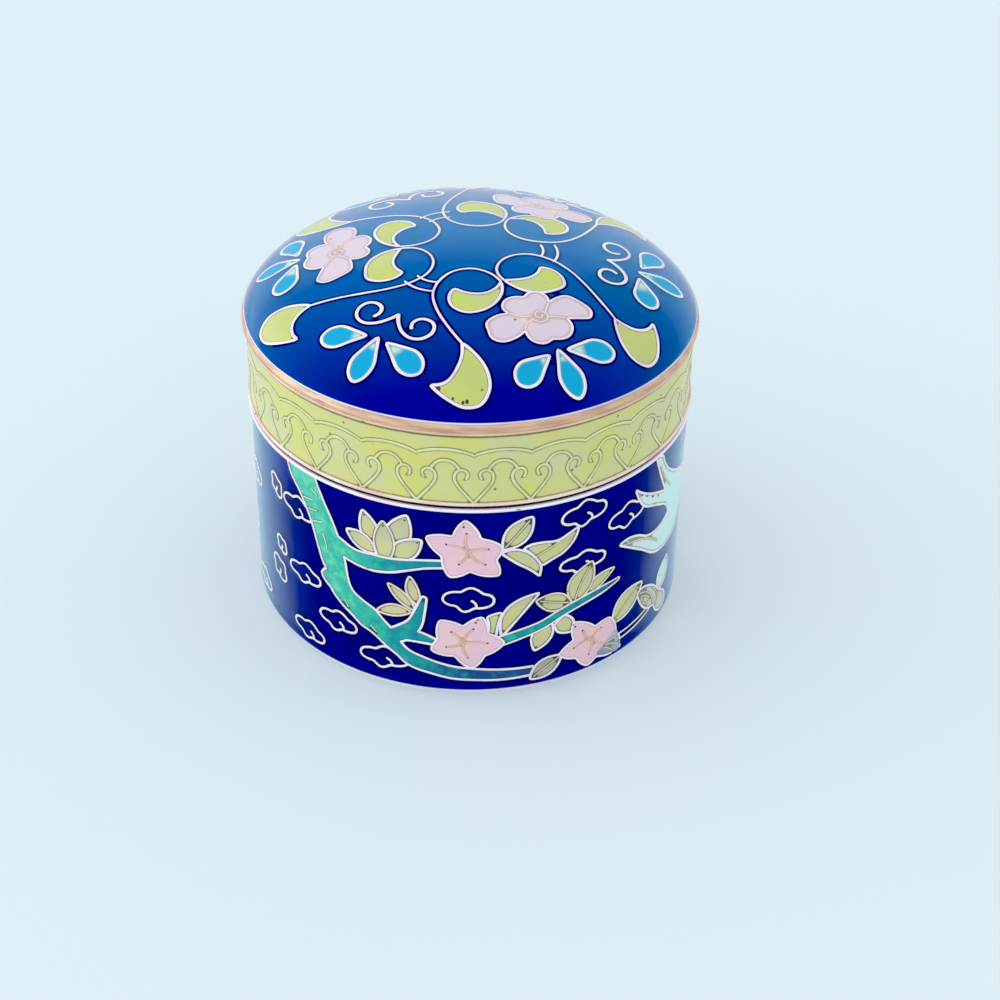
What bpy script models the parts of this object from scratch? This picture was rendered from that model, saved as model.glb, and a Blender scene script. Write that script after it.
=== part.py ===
"""A round cloisonne enamel box with a domed lift-off lid, at its real size.

Metres, +Z up. The origin is the centre of the foot ring's underside, and the side of the box
that carries the blossom branch faces -Y. Every piece is turned about the Z axis:

    box_body        enamelled copper cup: wall and floor
    foot_ring       gilt ring that the box stands on
    body_rim        gilt edge on the mouth of the body
    inner_collar    gilt collar inside the mouth, over which the lid slides
    lid_rim         gilt edge under the lid's band
    lid_band        enamelled copper band of the lid
    shoulder_ring   copper bead between band and dome
    lid_dome        enamelled copper dome
"""

import math

import bmesh
import bpy

MM = 0.001
SIDES = 64  # facets round every turned piece
SEAT_GAP = 0.3 * MM  # air left where two separately made pieces meet

# Radii.
WALL_RADIUS = 37.6 * MM  # enamel surface of the body and of the lid's band
RIM_RADIUS = 38.0 * MM  # gilt edges of body and lid
SHOULDER_RADIUS = 38.3 * MM  # the bead, the widest part of the box
DOME_RADIUS = 37.8 * MM  # dome where it stands on the bead
WALL_THICKNESS = 1.9 * MM  # copper with enamel on both faces
COLLAR_THICKNESS = 0.9 * MM
FOOT_INSET = 1.0 * MM
FOOT_WIDTH = 2.6 * MM

# Heights above the surface that the box stands on.
FOOT_HEIGHT = 0.7 * MM
MOUTH_HEIGHT = 39.1 * MM  # top of the body's gilt edge
RIM_HEIGHT = 0.8 * MM
BAND_HEIGHT = 12.4 * MM  # between the lid's two metal edges
SHOULDER_HEIGHT = 2.0 * MM
DOME_RISE = 11.1 * MM  # from the dome's edge to its crown
DOME_STEPS = 13  # facets from crown to edge
DOME_EDGE_ANGLE = math.radians(78)  # steepness of the dome at its edge
FLOOR_THICKNESS = 1.8 * MM
COLLAR_ABOVE_MOUTH = 4.9 * MM
COLLAR_BELOW_MOUTH = 5.1 * MM

# Roundings.
CORNER_RADIUS = 0.8 * MM  # lower outside corner of the body
FLOOR_FILLET = 1.6 * MM
RIM_ROUNDING = 0.3 * MM
SHOULDER_ROUNDING = 0.7 * MM

# Levels and bores that follow from the sizes above.
BODY_BOTTOM = FOOT_HEIGHT + SEAT_GAP
BODY_TOP = MOUTH_HEIGHT - RIM_HEIGHT - SEAT_GAP
LID_BOTTOM = MOUTH_HEIGHT + SEAT_GAP
BAND_BOTTOM = LID_BOTTOM + RIM_HEIGHT + SEAT_GAP
BAND_TOP = LID_BOTTOM + RIM_HEIGHT + BAND_HEIGHT - SEAT_GAP
SHOULDER_BOTTOM = BAND_TOP + SEAT_GAP
DOME_EDGE = SHOULDER_BOTTOM + SHOULDER_HEIGHT + SEAT_GAP
BORE = WALL_RADIUS - WALL_THICKNESS
COLLAR_RADIUS = BORE - SEAT_GAP


def arc(centre, radius, start, end, steps):
    """Points (r, z) on a circular arc, from angle start to angle end in degrees."""
    turns = [math.radians(start + (end - start) * i / steps) for i in range(steps + 1)]
    return [(centre[0] + radius * math.cos(a), centre[1] + radius * math.sin(a)) for a in turns]


def dome_curve(radius, rise, steps):
    """Points (r, z) of a flattened dome, from its crown on the axis down to its edge."""
    low = math.cos(DOME_EDGE_ANGLE)
    points = []
    for i in range(steps + 1):
        angle = DOME_EDGE_ANGLE * i / steps
        across = radius * math.sin(angle) / math.sin(DOME_EDGE_ANGLE)
        points.append((across, DOME_EDGE + rise * (math.cos(angle) - low) / (1 - low)))
    return points


def rounded_ring(inner, outer, bottom, height, rounding):
    """Closed outline of a ring whose outer edges are rounded and inner edges square."""
    top = bottom + height
    lower = arc((outer - rounding, bottom + rounding), rounding, -90, 0, 2)
    upper = arc((outer - rounding, top - rounding), rounding, 0, 90, 2)
    return [(inner, bottom), *lower, *upper, (inner, top)]


def enamel(name, colour):
    """Material of fired, polished enamel."""
    return metal(name, colour, metallic=0.0, roughness=0.12)


def metal(name, colour, metallic=1.0, roughness=0.28):
    """Material with one colour, as Principled BSDF."""
    material = bpy.data.materials.new(name)
    material.use_nodes = True
    shader = material.node_tree.nodes["Principled BSDF"]
    shader.inputs["Base Color"].default_value = (*colour, 1.0)
    shader.inputs["Metallic"].default_value = metallic
    shader.inputs["Roughness"].default_value = roughness
    material.diffuse_color = (*colour, 1.0)
    return material


def turned(name, outline, material):
    """Turns an outline of (r, z) points about the Z axis into one closed solid.

    An outline that starts and ends on the axis is left open there, and any other is closed.
    """
    shape = bmesh.new()
    verts = [shape.verts.new((r, 0.0, z)) for r, z in outline]
    pairs = list(zip(verts, verts[1:]))
    if outline[0][0] > 0:
        pairs.append((verts[-1], verts[0]))
    edges = [shape.edges.new(pair) for pair in pairs]
    bmesh.ops.spin(
        shape,
        geom=[*verts, *edges],
        cent=(0, 0, 0),
        axis=(0, 0, 1),
        angle=math.tau,
        steps=SIDES,
        use_merge=True,
    )
    bmesh.ops.remove_doubles(shape, verts=shape.verts, dist=1e-6)
    bmesh.ops.recalc_face_normals(shape, faces=shape.faces)
    mesh = bpy.data.meshes.new(name)
    shape.to_mesh(mesh)
    shape.free()
    mesh.shade_smooth()
    mesh.set_sharp_from_angle(angle=math.radians(35))
    mesh.materials.append(material)
    piece = bpy.data.objects.new(name, mesh)
    bpy.context.scene.collection.objects.link(piece)
    return piece


def make_body(blue, gilt):
    """The cup with its foot, its gilt mouth and the collar that holds the lid."""
    floor = BODY_BOTTOM + FLOOR_THICKNESS
    corner = arc((WALL_RADIUS - CORNER_RADIUS, BODY_BOTTOM + CORNER_RADIUS), CORNER_RADIUS, -90, 0, 4)
    fillet = arc((BORE - FLOOR_FILLET, floor + FLOOR_FILLET), FLOOR_FILLET, 0, -90, 4)
    wall = [(WALL_RADIUS, BODY_TOP), (BORE, BODY_TOP)]
    turned("box_body", [(0, BODY_BOTTOM), *corner, *wall, *fillet, (0, floor)], blue)

    foot_radius = WALL_RADIUS - FOOT_INSET
    foot = [
        (foot_radius - FOOT_WIDTH, 0),
        (foot_radius, 0),
        (foot_radius, FOOT_HEIGHT),
        (foot_radius - FOOT_WIDTH, FOOT_HEIGHT),
    ]
    turned("foot_ring", foot, gilt)

    rim = rounded_ring(BORE, RIM_RADIUS, BODY_TOP + SEAT_GAP, RIM_HEIGHT, RIM_ROUNDING)
    turned("body_rim", rim, gilt)

    collar_bottom = MOUTH_HEIGHT - COLLAR_BELOW_MOUTH
    collar_height = COLLAR_ABOVE_MOUTH + COLLAR_BELOW_MOUTH
    collar = rounded_ring(
        COLLAR_RADIUS - COLLAR_THICKNESS, COLLAR_RADIUS, collar_bottom, collar_height, RIM_ROUNDING
    )
    turned("inner_collar", collar, gilt)


def make_lid(blue, yellow, gilt, copper):
    """The lid: gilt edge, band, copper bead and dome, each standing on the one below."""
    turned("lid_rim", rounded_ring(BORE, RIM_RADIUS, LID_BOTTOM, RIM_HEIGHT, RIM_ROUNDING), gilt)

    band = [(BORE, BAND_BOTTOM), (WALL_RADIUS, BAND_BOTTOM), (WALL_RADIUS, BAND_TOP), (BORE, BAND_TOP)]
    turned("lid_band", band, yellow)

    bead = rounded_ring(BORE, SHOULDER_RADIUS, SHOULDER_BOTTOM, SHOULDER_HEIGHT, SHOULDER_ROUNDING)
    turned("shoulder_ring", bead, copper)

    outside = dome_curve(DOME_RADIUS, DOME_RISE, DOME_STEPS)
    inside = dome_curve(DOME_RADIUS - WALL_THICKNESS, DOME_RISE - WALL_THICKNESS, DOME_STEPS - 4)
    turned("lid_dome", outside + inside[::-1], blue)


def main():
    """Clears the scene and makes the box."""
    for thing in list(bpy.data.objects):
        bpy.data.objects.remove(thing)
    blue = enamel("cobalt_enamel", (0.004, 0.012, 0.29))
    yellow = enamel("yellow_green_enamel", (0.52, 0.60, 0.17))
    gilt = metal("gilt_edge", (0.93, 0.72, 0.60))
    copper = metal("copper_bead", (0.86, 0.48, 0.30))
    make_body(blue, gilt)
    make_lid(blue, yellow, gilt, copper)


main()
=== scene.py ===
"""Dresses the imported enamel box: skins of fired glass with their coloured cells, the wires between
them, the turned metal trims, and the light, floor and camera of its picture.

Drawings are in millimetres. On the drum and the band, x runs round the wall, to the right from the
front, and y is the height; on the dome, a drawing is the plan seen from above. Objects are in
metres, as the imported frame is.
"""

import logging
import math
from abc import ABC, abstractmethod
from collections.abc import Callable, Sequence
from dataclasses import dataclass, replace
from enum import Enum
from typing import ClassVar

import bmesh
import bpy
import numpy as np
from mathutils import Matrix, Vector, noise
from mathutils.geometry import delaunay_2d_cdt
from mathutils.kdtree import KDTree


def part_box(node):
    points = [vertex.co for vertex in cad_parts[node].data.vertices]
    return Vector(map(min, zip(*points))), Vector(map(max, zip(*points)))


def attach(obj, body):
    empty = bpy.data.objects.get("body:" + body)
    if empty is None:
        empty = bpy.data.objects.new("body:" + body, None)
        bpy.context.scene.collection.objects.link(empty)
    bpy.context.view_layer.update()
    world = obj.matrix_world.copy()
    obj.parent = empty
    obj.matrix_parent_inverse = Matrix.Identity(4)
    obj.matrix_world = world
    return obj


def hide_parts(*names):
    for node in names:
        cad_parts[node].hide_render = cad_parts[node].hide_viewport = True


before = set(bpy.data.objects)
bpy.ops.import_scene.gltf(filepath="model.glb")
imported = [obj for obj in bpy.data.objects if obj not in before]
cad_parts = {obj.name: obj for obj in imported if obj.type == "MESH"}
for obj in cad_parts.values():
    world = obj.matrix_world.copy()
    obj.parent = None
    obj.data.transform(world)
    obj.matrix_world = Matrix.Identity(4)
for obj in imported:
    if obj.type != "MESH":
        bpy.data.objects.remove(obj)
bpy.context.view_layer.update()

LOG = logging.getLogger("enamel_box")

MM = 0.001
SEGMENTS = 240  # facets round every turned piece
WIRE_PITCH = 0.4  # between the places of a drawn line
SHEET_PITCH = 0.9  # between the places of a sheet of glass away from its wires
BESIDE_WIRE = (0.66, 1.0)  # rows of places that follow each side of a wire
WIRE_DISTANCE = "wire_distance"  # attribute: millimetres from the nearest wire
FAR = 9.0  # that distance where no wire is near
MM_PER_DEGREE = math.radians(37.6)  # along the drum's wall
TONE = "tone"  # attribute: how far a cell's glass has drifted from its first colour


class Finish(Enum):
    """The finishes of the box, by the names of their materials."""

    COBALT = "cobalt_glass"
    # the lid's lighter copy of the drum's cobalt: painted light
    LID_COBALT = "lid_cobalt_glass"
    LID_BESIDE = "lid_cobalt_by_wires"
    YELLOW_GREEN = "yellow_green_glass"
    COMMA = "lime_comma_glass"
    LEAF = "olive_leaf_glass"
    GREY_LEAF = "grey_leaf_glass"
    SHADE = "blue_grey_glass"
    # the bead's upper lip: painted highlight
    LIP = "pale_lip"
    ROSE_GILT = "rose_gilt"
    PETAL = "pale_petal_glass"
    FOLD = "salmon_fold_glass"
    BLOSSOM = "pink_blossom_glass"
    DROP = "turquoise_drop_glass"
    BRANCH = "green_branch_glass"
    FEATHER = "mint_feather_glass"
    BUD = "cream_bud_glass"
    PORE = "dark_open_pore"
    COUNTER = "counter_glass"
    SILVERED_WIRE = "pale_wire"
    ROSY_WIRE = "rosy_wire"
    CREAM_WIRE = "cream_wire"
    TAN_WIRE = "tan_wire"
    BLUSH_WIRE = "blush_wire"
    MINT_WIRE = "mint_wire"
    GILT = "gilt_trim"
    COPPER = "copper_bead"
    # the near-black faces in the gaps between rims: painted shade
    SEAT = "oxidised_seat"


Pair = tuple[float, float]
Stroke = tuple[Pair, ...]
Strokes = tuple[Stroke, ...]
Triple = tuple[float, float, float]
Profile = tuple[Pair, ...]  # levels at rising places from 0 to 1
Points = Sequence[Pair]
Side = tuple[Points, Finish, float]  # a turned side: profile, finish, distance from a wire
Array = np.ndarray
Line = Array  # places of a drawing, one a row
Faces = list[tuple[int, ...]]
Colour = Triple  # linear light
Socket = bpy.types.NodeSocket
Piece = bpy.types.Object
Node = bpy.types.Node
Outputs = bpy.types.NodeOutputs
Inputs = dict[str | int, object]


def rgb(*channels: int) -> Colour:
    """Turns a display colour of 0 to 255 a channel into linear light."""
    shares = (channel / 255 for channel in channels)
    return tuple(s / 12.92 if s <= 0.04045 else ((s + 0.055) / 1.055) ** 2.4 for s in shares)


# ---- lines of a drawing


def flowing(points: Points) -> Line:
    """Runs a smooth line through points, however unevenly they are spaced.

    Args:
        points: Places that the line goes through.

    Returns:
        The line as many close places.
    """
    p = np.asarray(points, float)
    if len(p) == 2:
        return p
    gaps = np.maximum(np.linalg.norm(np.diff(p, axis=0), axis=1), 1e-6)[:, None]
    slopes = np.diff(p, axis=0) / gaps
    middle = (slopes[1:] * gaps[:-1] + slopes[:-1] * gaps[1:]) / (gaps[1:] + gaps[:-1])
    ways = np.vstack([2 * slopes[:1] - middle[:1], middle, 2 * slopes[-1:] - middle[-1:]])
    t = np.linspace(0, 1, 24, endpoint=False)[:, None]
    pieces = []
    for i, gap in enumerate(gaps):
        leave = (2 * t**3 - 3 * t**2 + 1) * p[i] + (t**3 - 2 * t**2 + t) * gap * ways[i]
        arrive = (3 * t**2 - 2 * t**3) * p[i + 1] + (t**3 - t**2) * gap * ways[i + 1]
        pieces.append(leave + arrive)
    return np.vstack([*pieces, p[-1:]])


def evenly(line: Line, closed: bool = False) -> Line:
    """Spaces the places of a line evenly.

    Args:
        line: The line.
        closed: Whether its end joins its start.

    Returns:
        The same line with even places.
    """
    whole = np.vstack([line, line[:1]]) if closed else line
    reach = np.concatenate([[0], np.cumsum(np.linalg.norm(np.diff(whole, axis=0), axis=1))])
    marks = np.linspace(0, reach[-1], max(3, round(reach[-1] / WIRE_PITCH) + 1))
    spaced = np.column_stack([np.interp(marks, reach, whole[:, k]) for k in (0, 1)])
    return spaced[:-1] if closed else spaced


def bent(line: Line, closed: bool = False) -> Line:
    """Spaces a line evenly and rounds its corners a little, as bent wire has them.

    Args:
        line: The line.
        closed: Whether its end joins its start.

    Returns:
        The rounded line.
    """
    line = evenly(line, closed)
    eased = (np.roll(line, 1, axis=0) + 2 * line + np.roll(line, -1, axis=0)) / 4
    if not closed:
        eased[0], eased[-1] = line[0], line[-1]
    return eased


def strand(*points: Pair) -> Line:
    """An open wire's line through the points."""
    return bent(flowing(points))


def ring(*strokes: Points) -> Line:
    """Closes an outline whose strokes each start at a corner and run to the next one's corner."""
    pairs = zip(strokes, (*strokes[1:], strokes[0]))
    return bent(np.vstack([flowing([*one, after[0]])[:-1] for one, after in pairs]), closed=True)


def turned(line: Line, degrees: float) -> Line:
    """Turns a line counter-clockwise about the drawing's middle."""
    a = math.radians(degrees)
    return line @ np.array([[math.cos(a), math.sin(a)], [-math.sin(a), math.cos(a)]])


def disc(centre: Sequence[float], radius: float, count: int = 9) -> Line:
    """A small round outline."""
    a = np.arange(count) * math.tau / count
    return np.asarray(centre) + radius * np.column_stack([np.cos(a), np.sin(a)])


def inside(points: Line, outline: Line) -> Array:
    """Tells which points lie inside a closed outline.

    Args:
        points: Places to try.
        outline: The outline.

    Returns:
        One truth value a point.
    """
    low, high = outline.min(axis=0), outline.max(axis=0)
    near = np.all((points >= low) & (points <= high), axis=1)
    result = np.zeros(len(points), bool)
    if not near.any():
        return result
    x, y = points[near, 0, None], points[near, 1, None]
    a, b = outline, np.roll(outline, -1, axis=0)
    rise = np.where(b[:, 1] == a[:, 1], 1e-12, b[:, 1] - a[:, 1])
    crossing = a[:, 0] + (y - a[:, 1]) * (b[:, 0] - a[:, 0]) / rise
    straddles = (a[:, 1] > y) != (b[:, 1] > y)
    result[near] = (straddles & (x < crossing)).sum(axis=1) % 2 == 1
    return result


# ---- walls that carry a drawing


class Wall(ABC):
    """A curved wall of the box that a drawing is laid on."""

    seam: float = -180.0  # where round the box the first facet starts, in degrees

    @abstractmethod
    def lift(self, line: Line, height: Array | float = 0.0) -> Array:
        """Carries a drawing's places onto the wall, that far out from it."""

    @abstractmethod
    def facing(self, line: Line) -> Array:
        """The wall's outward directions at a drawing's places."""

    @abstractmethod
    def flatten(self, places: Array) -> Line:
        """The drawing's places under places on the wall."""

    @abstractmethod
    def border(self) -> Line:
        """Places along the sheet's edge, in the stretched plane."""

    @abstractmethod
    def field(self) -> Line:
        """Evenly spaced places over the stretched plane."""

    @abstractmethod
    def margin(self, line: Line) -> Array:
        """How far inside the sheet's finished edges a drawing's places lie."""

    def spread(self, line: Line) -> Line:
        """Carries a drawing to the evenly stretched plane in which the sheet is cut."""
        return line

    def gather(self, plane: Line) -> Line:
        """Carries the evenly stretched plane back to the drawing."""
        return plane


def honeycomb(low: Pair, high: Pair) -> Line:
    """Fills a rectangle with places in staggered rows.

    Args:
        low: Lower left corner.
        high: Upper right corner.

    Returns:
        The places.
    """
    rows = np.arange(low[1], high[1], SHEET_PITCH * 0.87)
    across = np.arange(low[0], high[0], SHEET_PITCH)
    lines = [across + SHEET_PITCH / 2 * (i % 2) for i in range(len(rows))]
    return np.column_stack([np.concatenate(lines), np.repeat(rows, len(across))])


@dataclass
class RoundWall(Wall):
    """An upright round wall, cut open along a seam: its glass's radius, lowest and highest level."""

    radius: float
    low: float
    high: float
    seam: float = -180.0

    def __post_init__(self) -> None:
        """Works out where the cut lies in the drawing."""
        self.start = math.radians(self.seam) * self.radius
        self.stop = self.start + math.tau * self.radius

    def lift(self, line: Line, height: Array | float = 0.0) -> Array:
        """Places on the wall, that far out from it."""
        reach = np.broadcast_to(self.radius + np.asarray(height), len(line))
        return self.facing(line) * reach[:, None] + line[:, 1:] * [0, 0, 1]

    def facing(self, line: Line) -> Array:
        """Outward directions, all level."""
        a = line[:, 0] / self.radius
        return np.column_stack([np.sin(a), -np.cos(a), np.zeros(len(a))])

    def flatten(self, places: Array) -> Line:
        """Unrolls places from the cut on."""
        x = np.arctan2(places[:, 0], -places[:, 1]) * self.radius
        return np.column_stack([self.start + np.mod(x - self.start, math.tau * self.radius), places[:, 2]])

    def border(self) -> Line:
        """Places along the sheet's four edges.

        Returns:
            The places.
        """
        across = np.linspace(self.start, self.stop, SEGMENTS + 1)
        up = np.linspace(self.low, self.high, round((self.high - self.low) / SHEET_PITCH) + 1)[1:-1]
        rows = [np.column_stack([across, np.full(len(across), y)]) for y in (self.low, self.high)]
        columns = [np.column_stack([np.full(len(up), x), up]) for x in (self.start, self.stop)]
        return np.vstack([*rows, *columns])

    def field(self) -> Line:
        """Evenly spaced places over the unrolled wall."""
        low = (self.start + SHEET_PITCH * 0.6, self.low + SHEET_PITCH * 0.6)
        return honeycomb(low, (self.stop - SHEET_PITCH * 1.1, self.high - SHEET_PITCH * 0.6))

    def margin(self, line: Line) -> Array:
        """How far above the lower and below the upper edge places lie."""
        return np.minimum(line[:, 1] - self.low, self.high - line[:, 1])


@dataclass
class DomeWall(Wall):
    """A flattened dome: radius and level of its edge, level of its crown, angle of its edge."""

    radius: float
    edge: float
    crown: float
    steepness: float = 78.0

    def __post_init__(self) -> None:
        """Works out its curve."""
        self.limit = math.radians(self.steepness)
        self.swell = (self.crown - self.edge) / (1 - math.cos(self.limit))

    def station(self, share: float) -> Pair:
        """Radius and level at a share of the way from crown to edge.

        Args:
            share: 0 at the crown, 1 at the edge.

        Returns:
            Radius and level.
        """
        angle = share * self.limit
        across = self.radius * math.sin(angle) / math.sin(self.limit)
        level = self.edge + self.swell * (math.cos(angle) - math.cos(self.limit))
        return (across if share > 0 else 0, level)

    def _angle(self, line: Line) -> Array:
        """How far down the dome's curve places lie, as an angle."""
        share = np.linalg.norm(line, axis=1) * math.sin(self.limit) / self.radius
        return np.arcsin(np.clip(share, 0, math.sin(self.limit)))

    def lift(self, line: Line, height: Array | float = 0.0) -> Array:
        """Places on the dome, that far out from it."""
        level = self.edge + self.swell * (np.cos(self._angle(line)) - math.cos(self.limit))
        return np.column_stack([line, level]) + self.facing(line) * np.reshape(height, (-1, 1))

    def facing(self, line: Line) -> Array:
        """Outward directions.

        Args:
            line: The drawing's places.

        Returns:
            One direction a place.
        """
        a = self._angle(line)
        reach = np.maximum(np.linalg.norm(line, axis=1), 1e-9)
        out = self.swell * np.sin(a)
        up = self.radius / math.sin(self.limit) * np.cos(a)
        ways = np.column_stack([line / reach[:, None] * out[:, None], up])
        return ways / np.linalg.norm(ways, axis=1)[:, None]

    def flatten(self, places: Array) -> Line:
        """The plan of places on the dome."""
        return places[:, :2]

    def spread(self, line: Line) -> Line:
        """Stretches the plan so that the steep edge gets as much room as the crown."""
        reach = np.maximum(np.linalg.norm(line, axis=1), 1e-9)
        return line * (self.radius * self._angle(line) / self.limit / reach)[:, None]

    def gather(self, plane: Line) -> Line:
        """Brings the stretched plan back.

        Args:
            plane: Places in the stretched plan.

        Returns:
            The drawing's places.
        """
        reach = np.maximum(np.linalg.norm(plane, axis=1), 1e-9)
        a = np.minimum(reach / self.radius, 1) * self.limit
        return plane * (self.radius * np.sin(a) / math.sin(self.limit) / reach)[:, None]

    def border(self) -> Line:
        """Places round the dome's edge."""
        a = np.arange(SEGMENTS) * math.tau / SEGMENTS
        return np.column_stack([np.sin(a), -np.cos(a)]) * self.radius

    def field(self) -> Line:
        """Evenly spaced places over the stretched plan."""
        places = honeycomb((-self.radius, -self.radius), (self.radius, self.radius))
        return places[np.linalg.norm(places, axis=1) < self.radius - SHEET_PITCH * 0.6]

    def margin(self, line: Line) -> Array:
        """How far inside the dome's edge places lie, in the stretched plan."""
        return self.radius * (1 - self._angle(line) / self.limit)


# ---- drawings: cells and wires


@dataclass(frozen=True)
class WireGauge:
    """A kind of wire: its width, how far it stands above the glass, and its metal."""

    width: float
    proud: float
    finish: Finish


class Gauge(Enum):
    """The kinds of wire on the box."""

    DRUM = WireGauge(0.43, 0.07, Finish.SILVERED_WIRE)
    TWIG = WireGauge(0.34, 0.06, Finish.SILVERED_WIRE)
    FROND = WireGauge(0.36, 0.06, Finish.BLUSH_WIRE)
    DOME = WireGauge(0.48, 0.06, Finish.ROSY_WIRE)
    STEM = WireGauge(0.4, 0.06, Finish.ROSY_WIRE)
    PETAL = WireGauge(0.36, 0.05, Finish.ROSY_WIRE)
    BLOOM = WireGauge(0.37, 0.06, Finish.SILVERED_WIRE)
    CURL = WireGauge(0.56, 0.07, Finish.ROSY_WIRE)
    FOLD = WireGauge(0.2, 0.03, Finish.BLUSH_WIRE)
    SCROLL = WireGauge(0.43, 0.07, Finish.CREAM_WIRE)
    VEIN = WireGauge(0.24, 0.04, Finish.CREAM_WIRE)
    BARK = WireGauge(0.28, 0.04, Finish.MINT_WIRE)
    STAMEN = WireGauge(0.24, 0.03, Finish.TAN_WIRE)


@dataclass(frozen=True)
class Drift:
    """Where a cell's glass has its first and its last colour, in all directions when radial."""

    start: Pair
    end: Pair
    radial: bool = False

    def at(self, points: Line) -> Array:
        """The drift at points.

        Args:
            points: Places of the drawing.

        Returns:
            From 0 at the start to 1 at the end.
        """
        way = np.subtract(self.end, self.start)
        offset = points - self.start
        if self.radial:
            return np.clip(np.linalg.norm(offset, axis=1) / np.linalg.norm(way), 0, 1)
        return np.clip(offset @ way / (way @ way), 0, 1)


@dataclass(frozen=True)
class Cell:
    """A compartment of coloured glass inside an outline."""

    outline: Line
    finish: Finish
    drift: Drift | None = None


@dataclass(frozen=True)
class Wire:
    """A wire as it was laid, its end joined to its start when closed."""

    line: Line
    gauge: Gauge
    closed: bool = False
    covers: tuple[Line, ...] = ()  # outlines of earlier cells that cover it
    level: int = 0  # cells from this number on cover it too


@dataclass
class Drawing:
    """The pattern of one wall: its cells and wires, in the order in which they cover each other."""

    wall: Wall
    ground: Finish  # of the glass around all cells
    beside: Finish  # of that glass right against a wire
    gauge: Gauge  # of most of its wires
    edge_room: float = 0.0  # width along the wall's edges that stays free of wires

    def __post_init__(self) -> None:
        """Starts empty."""
        self.cells: list[Cell] = []
        self.wires: list[Wire] = []

    def fill(
        self, outline: Line, finish: Finish, drift: Drift | None = None, gauge: Gauge | None = None
    ) -> None:
        """Lays a cell and the wire round it, the drawing's usual one when its gauge is left out."""
        self.tint(outline, finish, drift)
        self.lay(outline, gauge, closed=True)

    def tint(self, outline: Line, finish: Finish, drift: Drift | None = None) -> None:
        """Lays a cell that has no wire of its own."""
        self.cells.append(Cell(outline, finish, drift))

    def lay(
        self, line: Line, gauge: Gauge | None = None, closed: bool = False, covers: tuple[Line, ...] = ()
    ) -> None:
        """Lays a wire over all that is there so far, apart from what covers it."""
        self.wires.append(Wire(line, gauge or self.gauge, closed, covers, len(self.cells)))

    def runs(self) -> list[Wire]:
        """The stretches of wire that no cell and no edge hides."""
        return [run for wire in self.wires for run in self._stretches(wire)]

    def _hidden(self, wire: Wire, points: Line) -> Array:
        """Tells which points a cell over the wire or the wall's edge hides.

        Args:
            wire: The wire.
            points: Places to try.

        Returns:
            One truth value a point.
        """
        lost = self.wall.margin(points) < self.edge_room
        for cover in (*(cell.outline for cell in self.cells[wire.level :]), *wire.covers):
            lost |= inside(points, cover)
        return lost

    def _stretches(self, wire: Wire) -> list[Wire]:
        """Splits one wire where it is hidden.

        Args:
            wire: The wire.

        Returns:
            Its visible stretches.
        """
        line, lost = wire.line, self._hidden(wire, wire.line)
        if not lost.any():
            return [wire]
        if lost.all():
            return []
        if wire.closed:
            first = int(np.argmax(lost))
            line = np.vstack([np.roll(line, -first, axis=0), line[first : first + 1]])
            lost = np.append(np.roll(lost, -first), True)
        found = []
        edges = np.flatnonzero(np.diff(np.concatenate([[True], lost, [True]]).astype(int)))
        for begin, end in zip(edges[::2], edges[1::2]):
            part = line[begin:end]
            if begin > 0:
                part = np.vstack([self._meeting(wire, line[begin], line[begin - 1]), part])
            if end < len(line):
                part = np.vstack([part, self._meeting(wire, line[end - 1], line[end])])
            if len(part) > 2:
                found.append(Wire(part, wire.gauge))
        return found

    def _meeting(self, wire: Wire, seen: Array, lost: Array) -> Array:
        """Finds where a wire goes under.

        Args:
            wire: The wire.
            seen: A place where it is seen.
            lost: The next place, where it is hidden.

        Returns:
            The place between them, as a line of one place.
        """
        for _ in range(6):
            middle = (seen + lost) / 2
            if self._hidden(wire, middle[None])[0]:
                lost = middle
            else:
                seen = middle
        return seen[None]


# ---- meshes


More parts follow.
